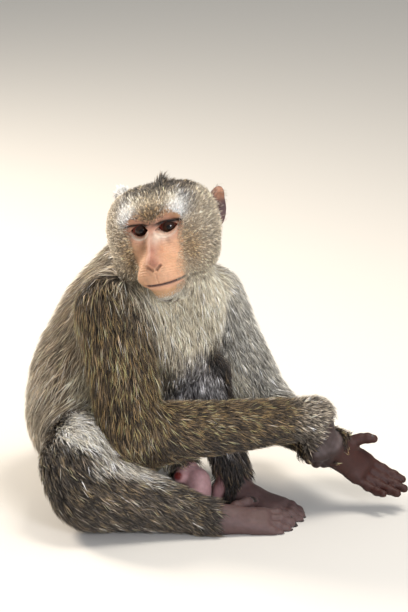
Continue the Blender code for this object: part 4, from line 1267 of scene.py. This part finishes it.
coatPieces = {
    "coatHead": (("head", "muzzle"), ("head", "muzzle", "jaw")),
    "coatTrunk": (("throat", "nape", "upperTrunk", "lowerTrunk"), ("neck", "chest", "belly", "pelvis")),
    "coatArms": (
        ("upperArmR", "forearmR", "upperArmL", "forearmL"),
        ("upper_arm_right", "upper_arm_left", "forearm_right", "forearm_left"),
    ),
    "coatLegs": (
        ("thighR", "shankR", "thighL", "shankL"),
        ("thigh_right", "thigh_left", "shank_right", "shank_left"),
    ),
    "coatTail": (("tail",), ("tail_1", "tail_2", "tail_3", "tail_4", "tail_5")),
}
locks = []
for name, (members, replaced) in coatPieces.items():
    mine = np.isin(facePart.argmax(1), [allNames.index(member) for member in members])
    roots, onFace = scatter(density * mine)
    count = len(roots)
    normals = normalsAt(roots)
    shares, tailAt = partShares(roots)
    ways = lieOfCoat(roots, shares, tailAt)
    length, width, rise = (shares @ cut[:, :3]).T / 1000
    l, f, u = inHead(roots)
    if name == "coatHead":  # short about the face, longer over the cheeks and nape
        nearer = ramp(-f, 10, 42)
        length *= (0.32 + 0.68 * nearer) * (1 + 0.25 * ramp(-f, 55, 75))
        width *= 0.5 + 0.5 * nearer
        rise *= 0.30 + 0.70 * nearer
        downy = bareness(roots, bareEdge["coat"]) > 0.9
        length[downy] *= 0.5
        width[downy] *= 0.45
        crest = crestAt(l, f, u, 6, 8)
        rise += 0.011 * crest
        length += 0.006 * crest
        ways += crest[:, None] * (crown * 2.0 - (left * (l - 6)[:, None] + ahead * (f + 43)[:, None]) * 0.12)
    turn = 0.24 * cloud(roots, 0.014, 2.0) + chance.normal(0, 0.10, count)
    ways = flat(ways, normals)
    ways = ways + np.cross(normals, ways) * turn[:, None]
    centre, own = clumps(roots, coatLook["clump"])
    ways = unit(ways) + (centre - roots) * (coatLook["lean"] / length[:, None])
    clumpTone = chance.normal(0, 1, own.max() + 1)[own]
    clumpGold = chance.random(own.max() + 1)[own]
    length *= np.clip(1 + 0.15 * clumpTone + chance.normal(0, 0.14, count), 0.5, 1.5)
    rise *= np.clip(0.75 + 0.22 * clumpTone + chance.normal(0, 0.16, count), 0.15, 1.25)
    width *= np.clip(1 + chance.normal(0, 0.2, count), 0.5, 1.6)
    toWrist = np.minimum(gap(roots, joint["wristR"]), gap(roots, joint["wristL"]))
    length *= 0.45 + 0.55 * ramp(toWrist, 0.012, 0.055)
    if name == "coatTrunk":  # kept short where the chest meets the raised knee
        clear = 0.35 + 0.65 * ramp(gap(roots, joint["kneeL"]), 0.038, 0.064)
        length *= clear
        rise *= clear
    weights = coatShares(roots, normals, shares)
    pick = (weights.cumsum(1) > chance.random((count, 1))).argmax(1)
    tones = np.einsum("nk,ktc->ntc", weights, hueTable)
    tones += coatLook["pure"] * (hueTable[pick] - tones)
    dark, middle, light = tones.transpose(1, 0, 2)
    gold = (0.7 * clumpGold + 0.3 * chance.random(count))[:, None]
    tip = np.where(gold < coatLook["golden"][0], light, np.where(gold < coatLook["golden"][1], middle, dark))
    pale = ramp(light.mean(1), 0.45, 0.95)[:, None]  # pale coats are more even
    # The lower stages are the dark under-wool, dimmed further on dark coats as painted shade down among the
    # locks
    stages = [dark * (0.45 + 0.45 * pale), dark * 0.45 * (1 - pale) + middle * (0.55 + 0.45 * pale), tip]
    spread = 1 - 0.72 * pale[:, 0]
    shade = 0.62 * clumpTone + 0.12 * cloud(roots, 0.010, 7.0) + chance.normal(0, 0.50, count) - 0.22
    hues = np.clip(np.stack(stages, 1) * np.exp(spread * shade)[:, None, None], 0.002, 0.95)
    grown = (roots, normals, ways, length, width, rise, hues, unwrapped(roots, chart[onFace]))
    parts = max(1, math.ceil(count * lockTriangles / coatLook["pieceTriangles"]))
    for n, own in enumerate(np.array_split(np.argsort(roots[:, 2]), parts)):
        own = growLocks(*(values[own] for values in grown), coatLook["droop"].get(name, 0.10))
        made = lockObject(name if parts == 1 else f"{name}{n + 1}", *own)
        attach(made, "root")
        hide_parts(*replaced)
        locks.append(made)
    print(name, count, "locks in", parts)


# Materials
def node(tree, kind, settings=None, **links):  # a node with its settings, fixed inputs and links
    made = tree.nodes.new(kind)
    for key, value in (settings or {}).items():
        setattr(made, key, value)
    for key, value in links.items():
        name = key.replace("_", " ")
        socket = made.inputs[int(name[1:])] if name[0] == "i" and name[1:].isdigit() else made.inputs[name]
        if isinstance(value, bpy.types.NodeSocket):
            tree.links.new(value, socket)
        else:
            socket.default_value = value
    return made


def material(name, **finish):
    made = bpy.data.materials.new(name)
    made.use_nodes = True
    shader = made.node_tree.nodes["Principled BSDF"]
    for key, value in finish.items():
        shader.inputs[key.replace("_", " ")].default_value = value
    return made, made.node_tree, shader


def tinted(tree, source, noise, low, high):  # the colour times a value that follows a noise
    span = node(tree, "ShaderNodeMapRange", i0=noise, i3=low, i4=high)
    kind = {"data_type": "RGBA", "blend_type": "MULTIPLY"}
    return node(tree, "ShaderNodeMix", kind, i0=1.0, i6=source, i7=span.outputs[0]).outputs[2]


def ownHue(tree):  # the colours that the mesh carries, and its own coordinates
    hue = node(tree, "ShaderNodeAttribute", {"attribute_name": "hue"})
    return hue.outputs["Color"], node(tree, "ShaderNodeTexCoord").outputs["Object"]


def skinMaterial():  # living skin: soft creases, pores about half a millimetre across
    bleed = {"Subsurface_Weight": 0.12, "Subsurface_Scale": 0.0025, "Subsurface_Radius": (1.0, 0.35, 0.2)}
    made, tree, shader = material("monkey skin", Roughness=0.55, IOR=1.4, **bleed)
    hue, place = ownHue(tree)
    blotch = node(tree, "ShaderNodeTexNoise", Vector=place, Scale=240, Detail=4)
    pores = node(tree, "ShaderNodeTexVoronoi", {"feature": "F1"}, Vector=place, Scale=1500)
    creases = node(tree, "ShaderNodeTexNoise", Vector=place, Scale=900, Detail=3, Roughness=0.6)
    relief = node(tree, "ShaderNodeMath", {"operation": "ADD"}, i0=pores.outputs[0], i1=creases.outputs[0])
    raised = node(tree, "ShaderNodeBump", Height=relief.outputs[0], Strength=0.35, Distance=0.0004)
    tree.links.new(tinted(tree, hue, blotch.outputs[0], 0.72, 1.28), shader.inputs["Base Color"])
    tree.links.new(raised.outputs[0], shader.inputs["Normal"])
    return made


def furMaterial():  # dry hair: the colour runs from root to tip on the locks themselves
    sheen = {"Sheen_Weight": 0.06, "Sheen_Roughness": 0.4}
    made, tree, shader = material("monkey fur", Roughness=0.5, IOR=1.55, **sheen)
    hue, place = ownHue(tree)
    strand = node(tree, "ShaderNodeTexNoise", Vector=place, Scale=1600, Detail=2)
    tree.links.new(tinted(tree, hue, strand.outputs[0], 0.75, 1.25), shader.inputs["Base Color"])
    return made


def eyeMaterial():  # the ball under its tears
    tears = {"Coat_Weight": 1.0, "Coat_Roughness": 0.03, "Coat_IOR": 1.34}
    made, tree, shader = material("monkey eyeball", Roughness=0.3, IOR=1.38, Specular_IOR_Level=0.15, **tears)
    tree.links.new(ownHue(tree)[0], shader.inputs["Base Color"])
    return made


def painted(code):
    return (*colour(code), 1)


horn = material("monkey nail", Base_Color=painted("#2a211f"), Roughness=0.38, IOR=1.55)[0]  # worn dull
looks = {"skin": skinMaterial(), "fur": furMaterial(), "nail": horn, "eye": eyeMaterial()}
skin.data.materials.append(looks["skin"])
for made in locks:
    made.data.materials.append(looks["fur"])

# Eyes: a ball with a low bulge for the cornea, iris and pupil laid as colours round the gaze
eyeLook = {
    "iris": 0.0056,
    "pupil": 0.0023,
    "bulge": 0.0009,
    "inset": 0.0002,
    "gaze": ((0.10, 1.0, -0.14), (0.20, 1.0, -0.10)),  # left, ahead and up, right eye then left
    "hues": {
        "white": "#4f2d24",
        "corner": "#8a2c20",
        "iris": "#2f1a0f",
        "rim": "#120a07",
        "pupil": "#040303",
    },
}


def eyeBall(name, centre, gaze):
    mesh = bpy.data.meshes.new(name)
    reworked(mesh, lambda work: bmesh.ops.create_uvsphere(work, u_segments=96, v_segments=64, radius=1.0))
    p = fetch(mesh.vertices, "co", 3)
    forward = unit(gaze @ headAxis)
    side = unit(np.cross(forward, crown))
    turned = p @ np.array((side, np.cross(side, forward), forward))
    away = np.degrees(np.arccos(np.clip(p[:, 2], -1, 1)))
    radius = eyeSize["radius"]
    irisAngle, pupilAngle = (math.degrees(math.asin(eyeLook[part] / radius)) for part in ("iris", "pupil"))
    reach = radius - eyeLook["inset"] + eyeLook["bulge"] * bump(away, 0, irisAngle * 0.75)
    spokes = 0.5 + 0.5 * np.sin(np.arctan2(p[:, 1], p[:, 0]) * 34) * np.sin(away * 1.3)
    tint = {part: colour(code) for part, code in eyeLook["hues"].items()}
    white = np.tile(tint["white"], (len(p), 1))
    white = mixed(white, tint["corner"], ramp(away, irisAngle + 4, irisAngle + 30))
    iris = tint["iris"] * (0.7 + 0.6 * spokes[:, None])
    iris = mixed(iris, tint["rim"], ramp(away, irisAngle - 6, irisAngle - 1))
    hue = mixed(white, iris, ramp(away, irisAngle + 1.5, irisAngle - 1))
    hue = mixed(hue, tint["pupil"], ramp(away, pupilAngle + 2, pupilAngle - 1))
    mesh.vertices.foreach_set("co", (turned * reach[:, None] + centre).ravel())
    mesh.update()
    smooth(mesh)
    addHues(mesh, hue)
    mesh.materials.append(looks["eye"])
    return placed(name, mesh)


for name, centre, gaze in zip(("eye_right", "eye_left"), eyeSpots, eyeLook["gaze"]):
    ball = eyeBall(name.replace("eye_", "eyeball_"), centre, gaze)
    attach(ball, "root")
    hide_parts(name)

# Nails: small curved plates on the backs of the digits' ends
nailCut = {"length": 0.0075, "width": 0.95, "lift": 0.0004, "thick": 0.0006}


def nailMesh():  # each nail is two arched sheets joined round the edge
    rows, columns = 7, 9
    number = np.arange(2 * rows * columns).reshape(2, rows, columns)
    sheets = (number[0], number[1], number[:, 0], number[:, -1], number[:, :, 0], number[:, :, -1])
    rings = [np.stack([s[:-1, :-1], s[:-1, 1:], s[1:, 1:], s[1:, :-1]], -1).reshape(-1, 4) for s in sheets]
    shares = ((0, 1), np.linspace(0, 1, rows), np.linspace(-1, 1, columns))
    layer, t, s = np.meshgrid(*shares, indexing="ij", sparse=True)
    arch = np.sqrt(np.maximum(0.05, 1 - (0.86 * s) ** 2)) * (1 - 0.28 * np.maximum(0, t - 0.5) / 0.5)
    narrow = nailCut["width"] * (1 - 0.25 * np.maximum(0, t - 0.6) ** 2 / 0.16)
    verts = []
    for tip, heading, palmward, radius in nailSpots:
        back = unit(heading * (palmward @ heading) - palmward)
        rise = radius * arch + nailCut["lift"] - layer * nailCut["thick"]
        along, aside = (t - 0.80) * nailCut["length"], s * radius * narrow
        steps = ((along, heading), (aside, np.cross(heading, back)), (rise, back))
        verts.append(tip + sum(step[..., None] * way for step, way in steps))
    faces = np.concatenate(rings) + np.arange(len(nailSpots))[:, None, None] * number.size
    return np.reshape(verts, (-1, 3)), faces.reshape(-1, 4)


nails = meshObject("nails", *nailMesh())
reworked(nails.data, lambda work: bmesh.ops.recalc_face_normals(work, faces=work.faces))
smooth(nails.data)
nails.data.materials.append(looks["nail"])
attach(nails, "root")
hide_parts("hand_right", "hand_left", "foot_right", "foot_left")
print("nails", len(nailSpots))

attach(skin, "root")
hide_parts(*fleshNodes)

# Floor, light and camera
setting = {
    "floor": "#d9d7d2",
    "world": "#eceded",
    "worldPower": 0.46,
    "lights": (  # place, size, watts, colour
        ((0.40, -0.05, 1.5), 0.6, 17, "#fff7ec"),
        ((-1.2, 0.8, 1.0), 0.5, 36, "#fff1e0"),
        ((0.7, -1.6, 0.7), 0.45, 20, "#f8f8ff"),
    ),
    "lampAim": (0, 0, 0.15),
    "distance": 3.4,
    "rise": 18,  # degrees the camera stands above level
    "lens": 200,
    "sensor": 36,
    "aimHeight": 0.1998,
}
bpy.ops.mesh.primitive_plane_add(size=12)
floor = bpy.context.object
floor.name = "floor"
paint = material("painted floor", Base_Color=painted(setting["floor"]), Roughness=0.75)[0]
floor.data.materials.append(paint)

scene = bpy.context.scene
scene.world = bpy.data.worlds.new("room")
scene.world.use_nodes = True
background = scene.world.node_tree.nodes["Background"]
background.inputs["Color"].default_value = painted(setting["world"])
background.inputs["Strength"].default_value = setting["worldPower"]
for n, (place, size, watts, hue) in enumerate(setting["lights"]):
    lamp = bpy.data.lights.new(f"soft{n}", "AREA")
    lamp.size, lamp.energy, lamp.color = size, watts, tuple(colour(hue))
    lampObject = placed(f"soft{n}", lamp)
    lampObject.location = place
    toLamp = Vector(place) - Vector(setting["lampAim"])
    lampObject.rotation_euler = toLamp.to_track_quat("Z", "Y").to_euler()

rise = math.radians(setting["rise"])
back = Vector((0, -math.cos(rise), math.sin(rise)))
lens = bpy.data.cameras.new("camera")
lens.lens, lens.sensor_fit = setting["lens"], "VERTICAL"
lens.sensor_width = lens.sensor_height = setting["sensor"]
camera = placed("camera", lens)
camera.location = Vector((shift[0], shift[1], setting["aimHeight"])) + back * setting["distance"]
camera.rotation_euler = back.to_track_quat("Z", "Y").to_euler()
scene.camera = camera
scene.view_settings.view_transform = "Standard"

print("done")
